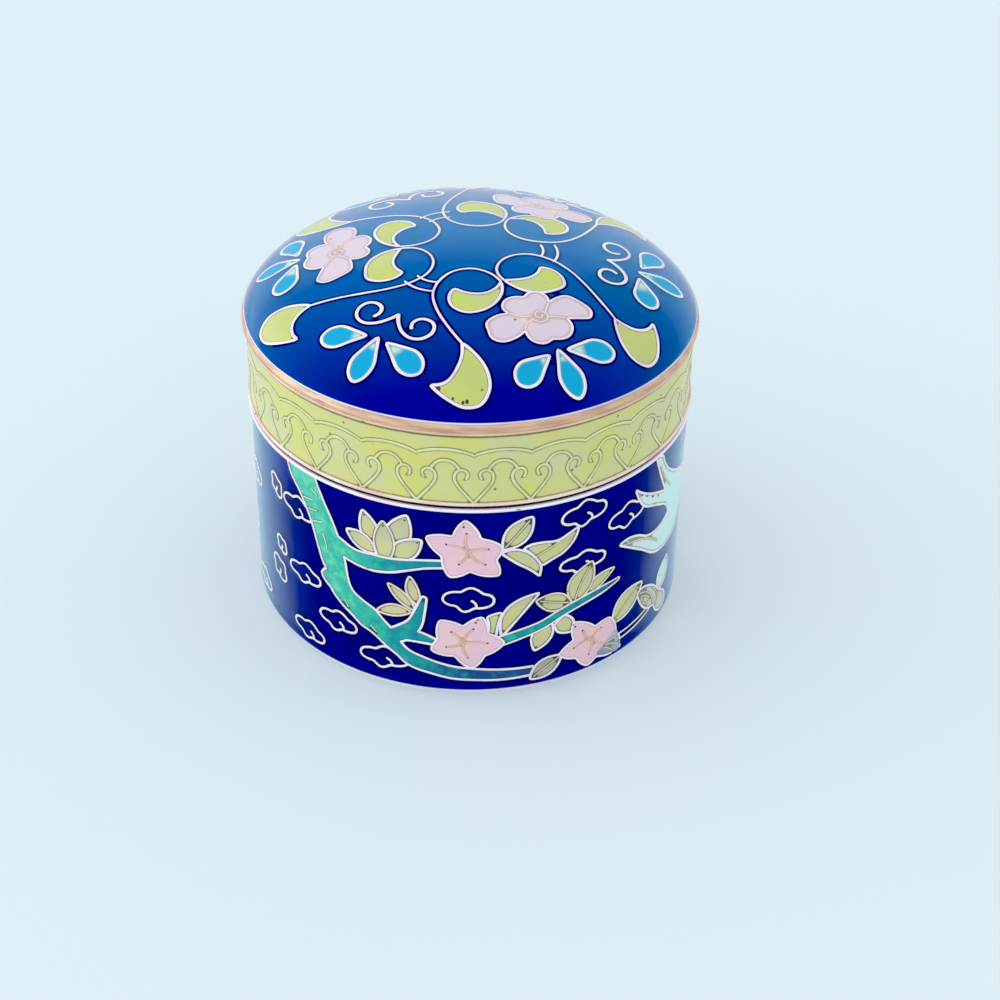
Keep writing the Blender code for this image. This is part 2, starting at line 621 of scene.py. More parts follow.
class Shell:
    """Vertices and faces of one object, gathered from several parts."""

    def __init__(self) -> None:
        """Starts empty."""
        self.places: list[Array] = []
        self.distances: list[Array] = []
        self.faces: Faces = []
        self.finishes: list[Finish] = []
        self.tones: list[float] = []
        self.count = 0

    def add(
        self,
        places: Array,
        faces: Sequence[Sequence[int]],
        finish: Finish | Sequence[Finish],
        distances: Array | float = FAR,
        tones: Sequence[float] | None = None,
    ) -> None:
        """Adds a part.

        Args:
            places: Its vertices, in millimetres.
            faces: Its faces, by vertex.
            finish: One finish, or one a face.
            distances: Each vertex's distance from the nearest wire, or one for all.
            tones: One tone a face corner, 0 when left out.
        """
        self.faces.extend(tuple(int(i) + self.count for i in face) for face in faces)
        self.finishes.extend([finish] * len(faces) if isinstance(finish, Finish) else finish)
        self.distances.append(np.broadcast_to(distances, len(places)))
        self.tones.extend([0.0] * sum(map(len, faces)) if tones is None else tones)
        self.places.append(np.asarray(places, float))
        self.count += len(places)

    def to_object(self, name: str, palette: "Palette", sharp: float = 50.0) -> Piece:
        """Makes the object, with equal vertices joined and all faces turned outwards.

        Args:
            name: The object's name.
            palette: Where its materials come from.
            sharp: Edges steeper than this many degrees stay sharp.

        Returns:
            The object.
        """
        mesh = bpy.data.meshes.new(name)
        mesh.from_pydata((np.vstack(self.places) * MM).tolist(), [], self.faces)
        kinds = list(dict.fromkeys(self.finishes))
        for kind in kinds:
            mesh.materials.append(palette[kind])
        mesh.polygons.foreach_set("material_index", [kinds.index(f) for f in self.finishes])
        distances = np.concatenate(self.distances)
        mesh.attributes.new(WIRE_DISTANCE, "FLOAT", "POINT").data.foreach_set("value", distances)
        mesh.attributes.new(TONE, "FLOAT", "CORNER").data.foreach_set("value", self.tones)
        shape = bmesh.new()
        shape.from_mesh(mesh)
        bmesh.ops.remove_doubles(shape, verts=shape.verts, dist=2e-6)
        bmesh.ops.recalc_face_normals(shape, faces=shape.faces)
        shape.to_mesh(mesh)
        shape.free()
        mesh.shade_smooth()
        mesh.set_sharp_from_angle(angle=math.radians(sharp))
        piece = bpy.data.objects.new(name, mesh)
        bpy.context.scene.collection.objects.link(piece)
        return piece


def arc(centre: Pair, radius: float, start: float, end: float, steps: int = 6) -> list[Pair]:
    """Places on a circular arc of a profile, from one angle to another in degrees."""
    angles = np.radians(np.linspace(start, end, steps + 1))
    return [(centre[0] + radius * math.cos(a), centre[1] + radius * math.sin(a)) for a in angles]


def spun(profile: Points, closed: bool, seam: float = Wall.seam) -> tuple[Array, Faces]:
    """Turns a profile about the box's axis.

    Args:
        profile: Places as radius and level; a radius of 0 closes to one vertex there.
        closed: Whether the profile's end joins its start.
        seam: Where the first facet starts, in degrees.

    Returns:
        Vertices and faces.
    """
    angles = np.radians(seam) + np.arange(SEGMENTS) * math.tau / SEGMENTS
    places, rows, faces = [], [], []
    for radius, level in profile:
        count = SEGMENTS if radius else 1
        rows.append([len(places) + i % count for i in range(SEGMENTS)])
        places.extend((radius * math.sin(a), -radius * math.cos(a), level) for a in angles[:count])
    for near, far in [*zip(rows, rows[1:]), *([(rows[-1], rows[0])] if closed else [])]:
        for i in range(SEGMENTS):
            j = (i + 1) % SEGMENTS
            faces.append(tuple(dict.fromkeys((near[i], near[j], far[j], far[i]))))
    return np.array(places), faces


class Enamelling:
    """Makes a drawing's glass sheet and its wires on their wall."""

    DISH = 0.03  # how far the glass sags between wires
    DISH_REACH = 0.9  # from a wire to where the sag is full
    WAVE = 0.022  # slow unevenness of the hand-polished glass
    WAVE_LENGTH = 7.0
    EDGE_EASE = 1.2  # from the sheet's edges to where sag and waves are full
    DEPTH = 0.32  # how deep the wires reach into the glass
    COVERED = 0.44  # how far the trims reach over the sheet's edges
    UNEVEN = 0.2  # share by which a wire's width comes and goes
    UNEVEN_LENGTH = 3.0
    WIRE_END = 0.16  # how far a wire's end tapers past its last place
    CROWN = ((-1, 0.35), (-0.62, 0.9), (0, 1), (0.62, 0.9), (1, 0.35))  # a wire's polished top

    def __init__(self, drawing: Drawing, shaded_edges: bool = False) -> None:
        """Measures where the wires run.

        Args:
            drawing: The pattern.
            shaded_edges: Whether the glass is painted as dark along the sheet's edges, in the shade of the
                trims, as at its wires.
        """
        self.shaded_edges = shaded_edges
        self.drawing = drawing
        self.wall = drawing.wall
        self.runs = drawing.runs()
        places = [self.wall.lift(run.line) for run in self.runs]
        self.halves = [self._half_widths(*pair) for pair in zip(self.runs, places)]
        self.tree = KDTree(sum(map(len, places)))
        for number, place in enumerate(np.vstack(places)):
            self.tree.insert(Vector(place), number)
        self.tree.balance()

    def _half_widths(self, run: Wire, places: Array) -> Array:
        """Half a wire's width at each place, uneven as in hand-bent wire."""
        uneven = [noise.noise(Vector(place) / self.UNEVEN_LENGTH) for place in places]
        return run.gauge.value.width / 2 * (1 + self.UNEVEN * np.array(uneven))

    def _nearest(self, places: Array) -> tuple[Array, Array]:
        """Finds the wire nearest to places on the wall.

        Args:
            places: The places.

        Returns:
            Their distances from its middle, and its half width there.
        """
        found = [self.tree.find(Vector(place)) for place in places]
        halves = np.concatenate(self.halves)[[number for _, number, _ in found]]
        return np.array([distance for *_, distance in found]), halves

    def _frame(self, run: Wire) -> tuple[Array, Array, Array, Array]:
        """Measures a wire's course on the wall.

        Args:
            run: The wire.

        Returns:
            Its places, and its outward, forward and sideways directions there.
        """
        places, out = self.wall.lift(run.line), self.wall.facing(run.line)
        if run.closed:
            way = np.roll(places, -1, axis=0) - np.roll(places, 1, axis=0)
        else:
            way = np.gradient(places, axis=0)
        way /= np.maximum(np.linalg.norm(way, axis=1), 1e-9)[:, None]
        side = np.cross(out, way)
        side /= np.maximum(np.linalg.norm(side, axis=1), 1e-9)[:, None]
        return places, out, way, side

    def _beside(self) -> Line:
        """Lays rows of places along both sides of every wire.

        Returns:
            The drawing's places.
        """
        found = []
        for run in self.runs:
            places, _, _, side = self._frame(run)
            for offset in BESIDE_WIRE:
                for sign in (-1, 1):
                    row = places + side * offset * sign
                    found.append(row[self._nearest(row)[0] > offset * 0.88])
        return self.wall.flatten(np.vstack(found))

    def _cut(self) -> tuple[Line, Faces]:
        """Cuts the sheet into triangles along its wires and cells.

        Returns:
            Drawing places and the triangles between them.
        """
        loops = [(c.outline, True) for c in self.drawing.cells] + [(r.line, r.closed) for r in self.runs]
        points, edges, count = [], [], 0
        for line, closed in loops:
            points.append(self.wall.spread(line))
            edges.extend((count + i, count + i + 1) for i in range(len(line) - 1))
            if closed:
                edges.append((count + len(line) - 1, count))
            count += len(line)
        beside = self._beside()
        beside = beside[self.wall.margin(beside) > 0.3]
        room = self.wall.field()
        drawn = self.wall.gather(room)
        room = room[self._nearest(self.wall.lift(drawn))[0] > BESIDE_WIRE[-1] + SHEET_PITCH * 0.35]
        points.extend([self.wall.spread(beside), room, self.wall.border()])
        corners = [Vector(p) for p in np.vstack(points)]
        verts, _, faces, *_ = delaunay_2d_cdt(corners, edges, [], 0, 1e-4)
        return self.wall.gather(np.array([tuple(v) for v in verts])), [f for f in faces if len(f) == 3]

    def _heights(self, drawn: Line, places: Array, distances: Array) -> Array:
        """Works out how far the glass stands out from the wall.

        Args:
            drawn: Places of the drawing.
            places: The same places on the wall.
            distances: Their distances from the nearest wire.

        Returns:
            One height a place, below 0 where the glass sags.
        """
        share = np.clip(distances / self.DISH_REACH, 0, 1)
        sag = self.DISH * share * share * (3 - 2 * share)
        wave = np.array([noise.noise(Vector(p) / self.WAVE_LENGTH) for p in places]) * self.WAVE
        return (wave - self.WAVE - sag) * np.clip(self.wall.margin(drawn) / self.EDGE_EASE, 0, 1)

    def glass(self, shell: Shell) -> None:
        """Adds the sheet of glass, its cells in their colours.

        Args:
            shell: What it is added to.
        """
        drawn, faces = self._cut()
        flat = self.wall.lift(drawn)
        middles_away, halves = self._nearest(flat)
        distances = middles_away - halves
        # painted shade along the sheet's edges, under the overhanging trims
        if self.shaded_edges:
            distances = np.minimum(distances, self.wall.margin(drawn) - self.COVERED)
        corners = np.array(faces)
        middles = drawn[corners].mean(axis=1)
        close = middles_away[corners].max(axis=1) < BESIDE_WIRE[0] * 1.02
        finishes = np.where(close, self.drawing.beside, self.drawing.ground)
        tones = np.zeros((len(faces), 3))
        for cell in self.drawing.cells:
            mine = inside(middles, cell.outline)
            finishes[mine] = cell.finish
            ends = drawn[corners[mine]].reshape(-1, 2)
            tones[mine] = cell.drift.at(ends).reshape(-1, 3) if cell.drift else 0
        places = self.wall.lift(drawn, self._heights(drawn, flat, distances))
        shell.add(places, faces, list(finishes), distances, tones.ravel().tolist())

    def wires(self, shell: Shell) -> None:
        """Adds every wire as a ribbon with a rounded, polished top.

        Args:
            shell: What they are added to.
        """
        for run, half in zip(self.runs, self.halves):
            gauge = run.gauge.value
            places, out, way, side = self._frame(run)
            if not run.closed:
                ends = places[[0, -1]] + way[[0, -1]] * [[-self.WIRE_END], [self.WIRE_END]]
                places = np.vstack([ends[:1], places, ends[1:]])
                out, side = (np.vstack([rows[:1], rows, rows[-1:]]) for rows in (out, side))
                half = np.concatenate([half[:1] * 0.5, half, half[-1:] * 0.5])
            crown = [(across, share * gauge.proud) for across, share in self.CROWN]
            section = ((-1, -self.DEPTH), *crown, (1, -self.DEPTH))
            rows = [places + side * half[:, None] * across + out * height for across, height in section]
            grid = np.stack(rows, axis=1)
            rounds, sides = grid.shape[:2]
            numbers = np.arange(rounds * sides).reshape(rounds, sides)
            here = numbers if run.closed else numbers[:-1]
            there = np.roll(numbers, -1, axis=0)[: len(here)]
            quads = np.stack([here, np.roll(here, -1, axis=1), np.roll(there, -1, axis=1), there], axis=-1)
            faces = quads.reshape(-1, 4).tolist()
            if not run.closed:
                faces += [numbers[0].tolist(), numbers[-1, ::-1].tolist()]
            shell.add(grid.reshape(-1, 3), faces, gauge.finish)


# ---- motifs of the drum


def spot(turn: float, height: float) -> Pair:
    """A place on the drum's drawing, given in degrees round it and as a level."""
    return (turn * MM_PER_DEGREE, height)


def spots(places: Points) -> list[Pair]:
    """The drum's places at turns and levels."""
    return [spot(*place) for place in places]


@dataclass(frozen=True)
class Leaf:
    """A pointed leaf of the drum. Its sides swell by shares of its length."""

    base: Pair
    tip: Pair
    left: float = 0.2
    right: float = 0.2
    belly: float = 0.48  # where along it the sides swell most
    veined: bool = False
    gauge: Gauge | None = None
    finish: Finish = Finish.LEAF

    def draw(self, drawing: Drawing) -> None:
        """Lays the leaf, and its vein or the pore at its tip.

        Args:
            drawing: What it is laid in.
        """
        base, tip = np.array(spots((self.base, self.tip)))
        along = tip - base
        across = np.array([-along[1], along[0]])
        swell = base + self.belly * along
        outline = ring((base, swell + self.left * across), (tip, swell - self.right * across))
        drawing.fill(outline, self.finish, Drift(base, tip), self.gauge)
        bend = (self.left - self.right) * across
        if self.veined:
            vein = strand(base + 0.1 * along, base + 0.45 * along + 0.45 * bend, base + 0.86 * along)
            drawing.lay(vein, Gauge.VEIN)
        else:
            drawing.tint(disc(base + 0.87 * along + 0.1 * bend, 0.2), Finish.PORE)


@dataclass(frozen=True)
class Patch:
    """A cell of its own shape on the drum, such as half a folded leaf."""

    finish: Finish
    strokes: Strokes  # its outline: each corner and the places that follow it
    drift: tuple[Pair, Pair]
    veins: Strokes = ()
    pores: Stroke = ()
    wired: bool = True

    def draw(self, drawing: Drawing) -> None:
        """Lays the cell, its veins and its pores.

        Args:
            drawing: What it is laid in.
        """
        outline, drift = ring(*map(spots, self.strokes)), Drift(*spots(self.drift))
        lay = drawing.fill if self.wired else drawing.tint
        lay(outline, self.finish, drift)
        for vein in self.veins:
            drawing.lay(strand(*spots(vein)), Gauge.VEIN)
        for pore in spots(self.pores):
            drawing.tint(disc(pore, 0.26), Finish.PORE)


@dataclass(frozen=True)
class Blossom:
    """A five-petalled blossom of the drum. An evenly drawn one has a size instead of tips and notches."""

    centre: Pair
    tips: Stroke = ()
    notches: Stroke = ()  # where the petals part, each after its tip
    size: float = 1.0
    fullness: float = 0.09  # how far a petal's sides swell, as a share of their length
    reach: float = 0.5  # of the stamens towards the tips
    radii: ClassVar[Pair] = (6.0, 3.6)  # of an even one's tips and notches

    def _star(self, centre: Array) -> tuple[Line, Line]:
        """Works out the petals' points.

        Args:
            centre: The blossom's middle in the drawing.

        Returns:
            Tips and notches.
        """
        if self.tips:
            return np.array(spots(self.tips)), np.array(spots(self.notches))
        angles = np.radians(90 + 72 * np.arange(5) + 8 * math.sin(self.centre[0]))
        tips = centre + self.radii[0] * self.size * np.column_stack([np.cos(angles), np.sin(angles)])
        angles += math.pi / 5
        return tips, centre + self.radii[1] * self.size * np.column_stack([np.cos(angles), np.sin(angles)])

    def draw(self, drawing: Drawing) -> None:
        """Lays the petals in one cell, with a stamen up each that ends in a pore.

        Args:
            drawing: What they are laid in.
        """
        centre = np.array(spot(*self.centre))
        tips, notches = self._star(centre)
        strokes = []
        for before, tip, after in zip(np.roll(notches, 1, axis=0), tips, notches):
            for start, end in ((before, tip), (tip, after)):
                way = end - start
                strokes.append((start, start + 0.5 * way + self.fullness * np.array([way[1], -way[0]])))
        far = tips[np.argmax(np.linalg.norm(tips - centre, axis=1))]
        drawing.fill(ring(*strokes), Finish.BLOSSOM, Drift(centre, far, radial=True), Gauge.BLOOM)
        for number, tip in enumerate(tips):
            way = tip - centre
            side = np.array([-way[1], way[0]]) * 0.05 * (-1) ** number
            reach = self.reach * (1 + 0.1 * math.sin(5.0 * number + centre[0]))
            stamen = (centre + 0.05 * way, centre + 0.6 * reach * way + side, centre + reach * way)
            drawing.lay(strand(*stamen), Gauge.STAMEN)
            drawing.tint(disc(centre + (reach + 0.04) * way, 0.2), Finish.PORE)
        for share in (0.78, 0.9):
            drawing.tint(disc(centre + share * (tips[0] - centre) + (-0.5 * share, 0.0), 0.22), Finish.PORE)


@dataclass(frozen=True)
class Cloud:
    """A lobed ring of wire with a small curl rising from its lower edge, given by its half sizes."""

    turn: float
    level: float
    width: float = 4.1
    height: float = 2.4
    tilt: float = 0.0
    rim: ClassVar[Strokes] = (
        ((-0.28, 0.6), (-0.10, 0.86), (0.1, 0.98), (0.3, 0.84)),
        ((0.58, 0.42), (0.8, 0.36), (0.97, 0.05), (0.93, -0.42), (0.62, -0.68)),
        ((0.22, -0.66), (0.02, -0.93), (-0.2, -1.0), (-0.34, -0.78)),
        ((-0.46, -0.5), (-0.76, -0.44), (-0.98, -0.1), (-0.9, 0.35), (-0.62, 0.6)),
    )
    curl: ClassVar[Stroke] = ((0.31, -0.65), (0.31, -0.42), (0.24, -0.23), (0.125, -0.09))

    def draw(self, drawing: Drawing) -> None:
        """Lays the ring and its curl.

        Args:
            drawing: What they are laid in.
        """
        size, centre = (self.width, self.height), spot(self.turn, self.level)
        rim = ring(*([np.multiply(size, p) for p in stroke] for stroke in self.rim))
        curl = strand(*(np.multiply(size, p) for p in self.curl))
        for line, closed in ((rim, True), (curl, False)):
            drawing.lay(turned(line, self.tilt) + centre, closed=closed)


@dataclass(frozen=True)
class Branch:
    """A branch of several limbs that grow into each other, green at one turn and blue at another."""

    green: float
    blue: float
    limbs: tuple[tuple[Triple, ...], ...]  # turn, level and width at the stations of each limb
    gauge: Gauge = Gauge.DRUM
    finish: Finish = Finish.BRANCH

    def draw(self, drawing: Drawing, top: float) -> None:
        """Lays all limbs as one green cell with one wire round them.

        Args:
            drawing: What they are laid in.
            top: Level under which they stay.
        """
        outlines = [self._outline(limb, top) for limb in self.limbs]
        drift = Drift(spot(self.green, 0), spot(self.blue, 0))
        for outline in outlines:
            drawing.tint(outline, self.finish, drift)
        for outline in outlines:
            others = tuple(other for other in outlines if other is not outline)
            drawing.lay(outline, self.gauge, closed=True, covers=others)

    @staticmethod
    def _outline(stations: Sequence[Triple], top: float) -> Line:
        """Rounds a limb that tapers along its stations.

        Args:
            stations: Turn, level and width at each.
            top: Level under which it stays.

        Returns:
            Its closed outline.
        """
        spine = flowing(spots([place[:2] for place in stations]))
        marks = np.linspace(0, len(stations) - 1, len(spine))
        half = np.interp(marks, range(len(stations)), [width / 2 for *_, width in stations])
        way = np.gradient(spine, axis=0)
        way /= np.linalg.norm(way, axis=1)[:, None]
        side = np.column_stack([-way[:, 1], way[:, 0]]) * half[:, None]
        outline = bent(np.vstack([spine + side, (spine - side)[::-1]]), closed=True)
        outline[:, 1] = np.minimum(outline[:, 1], top)
        return outline


# ---- motifs of the lid


@dataclass(frozen=True)
class Placing:
    """Where a part of the lid's pattern lies: turned about the lid's middle, then moved a little."""

    turn: float
    shift: Pair = (0.0, 0.0)

    def __call__(self, line: Line | Points) -> Line:
        """Carries a line to its place."""
        return turned(np.asarray(line, float), self.turn) + self.shift


@dataclass(frozen=True)
class CommaLeaf:
    """A fat comma-shaped leaf with a horn."""

    outer: Stroke  # from its neck, where it grows from its stem
    inner: Stroke  # from its horn

    def draw(self, drawing: Drawing, placing: Placing) -> None:
        """Lays the leaf at its place."""
        drift = Drift(*placing([self.outer[0], self.inner[0]]))
        drawing.fill(placing(ring(self.outer, self.inner)), Finish.COMMA, drift)


@dataclass(frozen=True)
class Drop:
    """A drop with a pointed tip and a round end."""

    tip: Pair
    end: Pair
    width: float = 3.9
    pale: float = 0.32  # how far from its tip its glass has stayed pale, as a share of its length

    def draw(self, drawing: Drawing, placing: Placing) -> None:
        """Lays the drop.

        Args:
            drawing: What it is laid in.
            placing: Where.
        """
        tip, along = np.array(self.tip), np.subtract(self.end, self.tip)
        across = np.array([-along[1], along[0]]) / np.linalg.norm(along) * self.width / 2
        swell = ((0.3, 0.52), (0.68, 1.0), (0.9, 0.68))
        left = [tip + share * along + out * across for share, out in swell]
        right = [tip + share * along - out * across for share, out in reversed(swell)]
        drift = Drift(*placing([tip, tip + 2 * self.pale * along]))
        drawing.fill(placing(ring((tip, *left, self.end, *right))), Finish.DROP, drift)


# ---- patterns


@dataclass(frozen=True)
class LidPattern:
    """The lid's pattern: three flowers between stems that end in comma leaves, double scrolls between
    them, and drops. Places are given as if their part lay towards -y; each has placings of its own."""

    vine_places: tuple[Placing, ...] = (
        Placing(30), Placing(266.9, (1.1, -3.6)), Placing(156.5, (-0.6, -1.8)),
    )
    flower_places: tuple[Placing, ...] = (Placing(30), Placing(269, (0.3, -0.6)), Placing(157, (2.4, -3.4)))
    flower_drop_places: tuple[Placing, ...] = (
        Placing(30, (0.3, -0.5)), Placing(269, (0.3, -0.6)), Placing(157, (2.4, -3.4)),
    )
    scroll_places: tuple[Placing, ...] = (Placing(-30, (0.3, -0.5)), Placing(84, (0.1, 1.7)), Placing(210))
    bar_places: tuple[Placing, ...] = (Placing(-30), Placing(90, (-2, -1.6)), Placing(210, (1.1, -3.3)))
    stems: Strokes = (
        (
            (-13.9, -22.4), (-14.2, -18), (-13.9, -14), (-12.7, -10.5), (-10, -7.9), (-6.8, -6.9),
            (-3.9, -7.8), (-2.1, -10.2), (-1.7, -12.9),
        ),
        (
            (11.9, -25.8), (11.5, -21.5), (11.2, -17.5), (10.6, -13.5), (9.2, -10), (6.8, -7.6), (4, -6.9),
            (1.2, -7.7), (-0.8, -9.9), (-1, -12.7),
        ),
    )
    commas: tuple[CommaLeaf, ...] = (
        CommaLeaf(inner=((-9.1, -11.1), (-7.6, -13.3), (-5.3, -14.4), (-3.2, -14)), outer=(
            (-1.7, -12.9), (-3, -15.5), (-5, -17.1), (-7.7, -17.8), (-10.3, -17), (-11.5, -14.8),
            (-10.8, -12.4),
        )),
        CommaLeaf(inner=((6.3, -11.6), (4.9, -13), (3, -13.6), (0.8, -13.3)), outer=(
            (-1, -12.7), (-0.4, -14.6), (0.8, -16.4), (2.7, -17.6), (5.2, -17.8), (7.5, -17.2), (8.4, -14.9),
            (7.7, -12.6),
        )),
        CommaLeaf(inner=((-21.4, -26.1), (-19.1, -27.1), (-16.6, -26), (-14.8, -24.2)), outer=(
            (-13.9, -22.4), (-13, -25.3), (-12.8, -28.6), (-13.7, -31.1), (-15.7, -32.3), (-18, -31.6),
            (-20.1, -29.2),
        )),
        CommaLeaf(inner=((18.4, -27.1), (16.5, -28.3), (14.4, -28.3), (12.8, -27.2)), outer=(
            (11.9, -25.8), (11, -28), (10.5, -31), (11.1, -33.1), (12.9, -34), (15.2, -33.2), (17.3, -30.6),
        )),
    )
    flower: Strokes = (
        ((2.9, -20.2), (4.4, -19.7), (6.5, -19.6), (7.9, -21.3), (8.7, -23.8)), ((7.7, -25.1), (5.7, -24.7)),
        ((3.9, -24.2), (3.9, -26), (2.4, -27.6)), ((-0.5, -27.3), (-2.3, -27.7), (-3.7, -26.6)),
        ((-3.7, -24.4), (-6, -25.2), (-8.2, -25), (-9.3, -23.7)), ((-9, -22.2), (-8.6, -20.7), (-7, -20)),
        ((-4.3, -20.3), (-4.7, -18.9), (-3.6, -17.4), (-1.8, -17.1)),
        ((-0.2, -17.9), (0.9, -17.1), (2.5, -17.3), (3.3, -18.8)),
    )
    folds: Strokes = (
        ((2.8, -20.4), (1.8, -21.4), (1.4, -21.9)), ((3.7, -24.1), (2.7, -23.6), (1.4, -23.1)),
        ((-3.6, -24.2), (-2.3, -23), (-1.3, -22.7)), ((-4.1, -20.4), (-2.8, -21.7), (-1.4, -22)),
    )
    fold_glass: Strokes = (
        ((-3.9, -24.6), (-2.6, -24.3), (-1.8, -23.2)), ((-1.1, -22.2), (-2.3, -21.4)),
        ((-4.2, -20.2), (-3.2, -21.8), (-3.2, -23.2)),
    )
    coil_centre: Pair = (0.1, -22.4)
    coil_radii: Pair = (1.55, 0.4)
    coil_turns: Pair = (200, 700)
    pits: tuple[Triple, ...] = (
        (-17.6, -31, 0.3), (-18.2, -30.8, 0.25), (-19.3, -29.6, 0.2), (-20.6, -27.3, 0.38),
    )
    flower_drops: tuple[Drop, ...] = (
        Drop((-2.4, -29.3), (-9.4, -31.6), pale=0.25), Drop((-0.7, -28.7), (-1, -36.2), pale=0.3),
        Drop((0.7, -29.2), (8.2, -31.2)),
    )
    scroll_drops: tuple[Drop, ...] = (
        Drop((-2.3, -28), (-9.5, -30.2), pale=0.4), Drop((-0.4, -27.6), (-0.2, -35.2)),
        Drop((1.3, -28.1), (9.1, -30.4)),
    )
    scroll: Stroke = (
        (0, -22.5), (1.3, -24.4), (2.7, -25.5), (4.5, -25.9), (6.2, -25.1), (6.9, -23.5), (6.2, -21.9),
        (4.8, -21.5), (3.4, -22.1), (3, -23.2), (3.5, -24.2),
    )
    bars: Strokes = (((-1.9, -13.4), (0, -13.8), (1.8, -13.4)), ((-3, -15.5), (-0.2, -16.2), (2.4, -15.7)))

    def draw(self, drawing: Drawing) -> None:
        """Lays the whole pattern.

        Args:
            drawing: What it is laid in.
        """
        for lines, places in ((self.stems, self.vine_places), (self.bars, self.bar_places)):
            for placing in places:
                for line in lines:
                    drawing.lay(placing(strand(*line)), Gauge.STEM)
        for placing in self.vine_places:
            for comma in self.commas:
                comma.draw(drawing, placing)
        for x, y, radius in self.pits:
            drawing.tint(disc(self.vine_places[0]([(x, y)])[0], radius), Finish.PORE)
        for placing in self.flower_places:
            self._flower(drawing, placing)
        drop_sets = ((self.flower_drops, self.flower_drop_places), (self.scroll_drops, self.scroll_places))
        for drops, places in drop_sets:
            for placing in places:
                for drop in drops:
                    drop.draw(drawing, placing)
        for placing in self.scroll_places:
            for side in (-1, 1):
                drawing.lay(placing(strand(*((side * x, y) for x, y in self.scroll))), Gauge.CURL)

    def _flower(self, drawing: Drawing, placing: Placing) -> None:
        """Lays one flower: a pale cell, warmer glass in one fold, wires up the folds and a coil.

        Args:
            drawing: What it is laid in.
            placing: Where.
        """
        drawing.fill(placing(ring(*self.flower)), Finish.PETAL, gauge=Gauge.PETAL)
        drawing.tint(placing(ring(*self.fold_glass)), Finish.FOLD)
        turns, radii = np.radians(np.linspace(*self.coil_turns, 16)), np.linspace(*self.coil_radii, 16)
        coil = self.coil_centre + radii[:, None] * np.column_stack([np.cos(turns), np.sin(turns)])
        for line in (*self.folds, coil):
            drawing.lay(placing(strand(*line)), Gauge.FOLD)


@dataclass(frozen=True)
class BandPattern:
    """The band's pattern: hearts with curled lobes, arches that join them, and a scalloped line."""

    hearts: int = 26
    phase: float = 2.3  # where one of them stands, in degrees
    lobe: Stroke = (  # right half of a heart, from its point, as offset and level
        (0, 39.8), (1.2, 41.3), (2.4, 42.9), (3.1, 44.5), (2.7, 45.8), (1.6, 46.1), (0.9, 45.3), (1.2, 44.4),
    )
    arch: Stroke = ((2.3, 46.1), (2.9, 47.05), (3.7, 47.68))  # from the lobe towards its crest
    crest: float = 47.8
    scallop: Pair = (48.75, 49.8)  # levels of the scalloped line's dips and crests

    def seam(self) -> float:
        """Where the wall is cut, midway between two hearts, in degrees."""
        return self.phase - 180.0 * (2 * (self.hearts // 2) + 1) / self.hearts

    def draw(self, drawing: Drawing) -> None:
        """Lays the whole pattern round the wall.

        Args:
            drawing: What it is laid in.
        """
        wall = drawing.wall
        pitch = (wall.stop - wall.start) / self.hearts
        for number in range(self.hearts):
            middle = np.array([wall.start + (number + 0.5) * pitch, 0.0])
            for mirror in ((-1, 1), (1, 1)):
                for stroke in (self.lobe, (*self.arch, (pitch / 2, self.crest))):
                    drawing.lay(strand(*(np.multiply(p, mirror) + middle for p in stroke)))
        across = np.linspace(wall.start, wall.stop, self.hearts * 24 + 1)
        low, high = self.scallop
        wave = np.abs(np.cos((across - wall.start) / pitch * math.pi)) ** 0.75
        drawing.lay(np.column_stack([across, low + (high - low) * wave]))


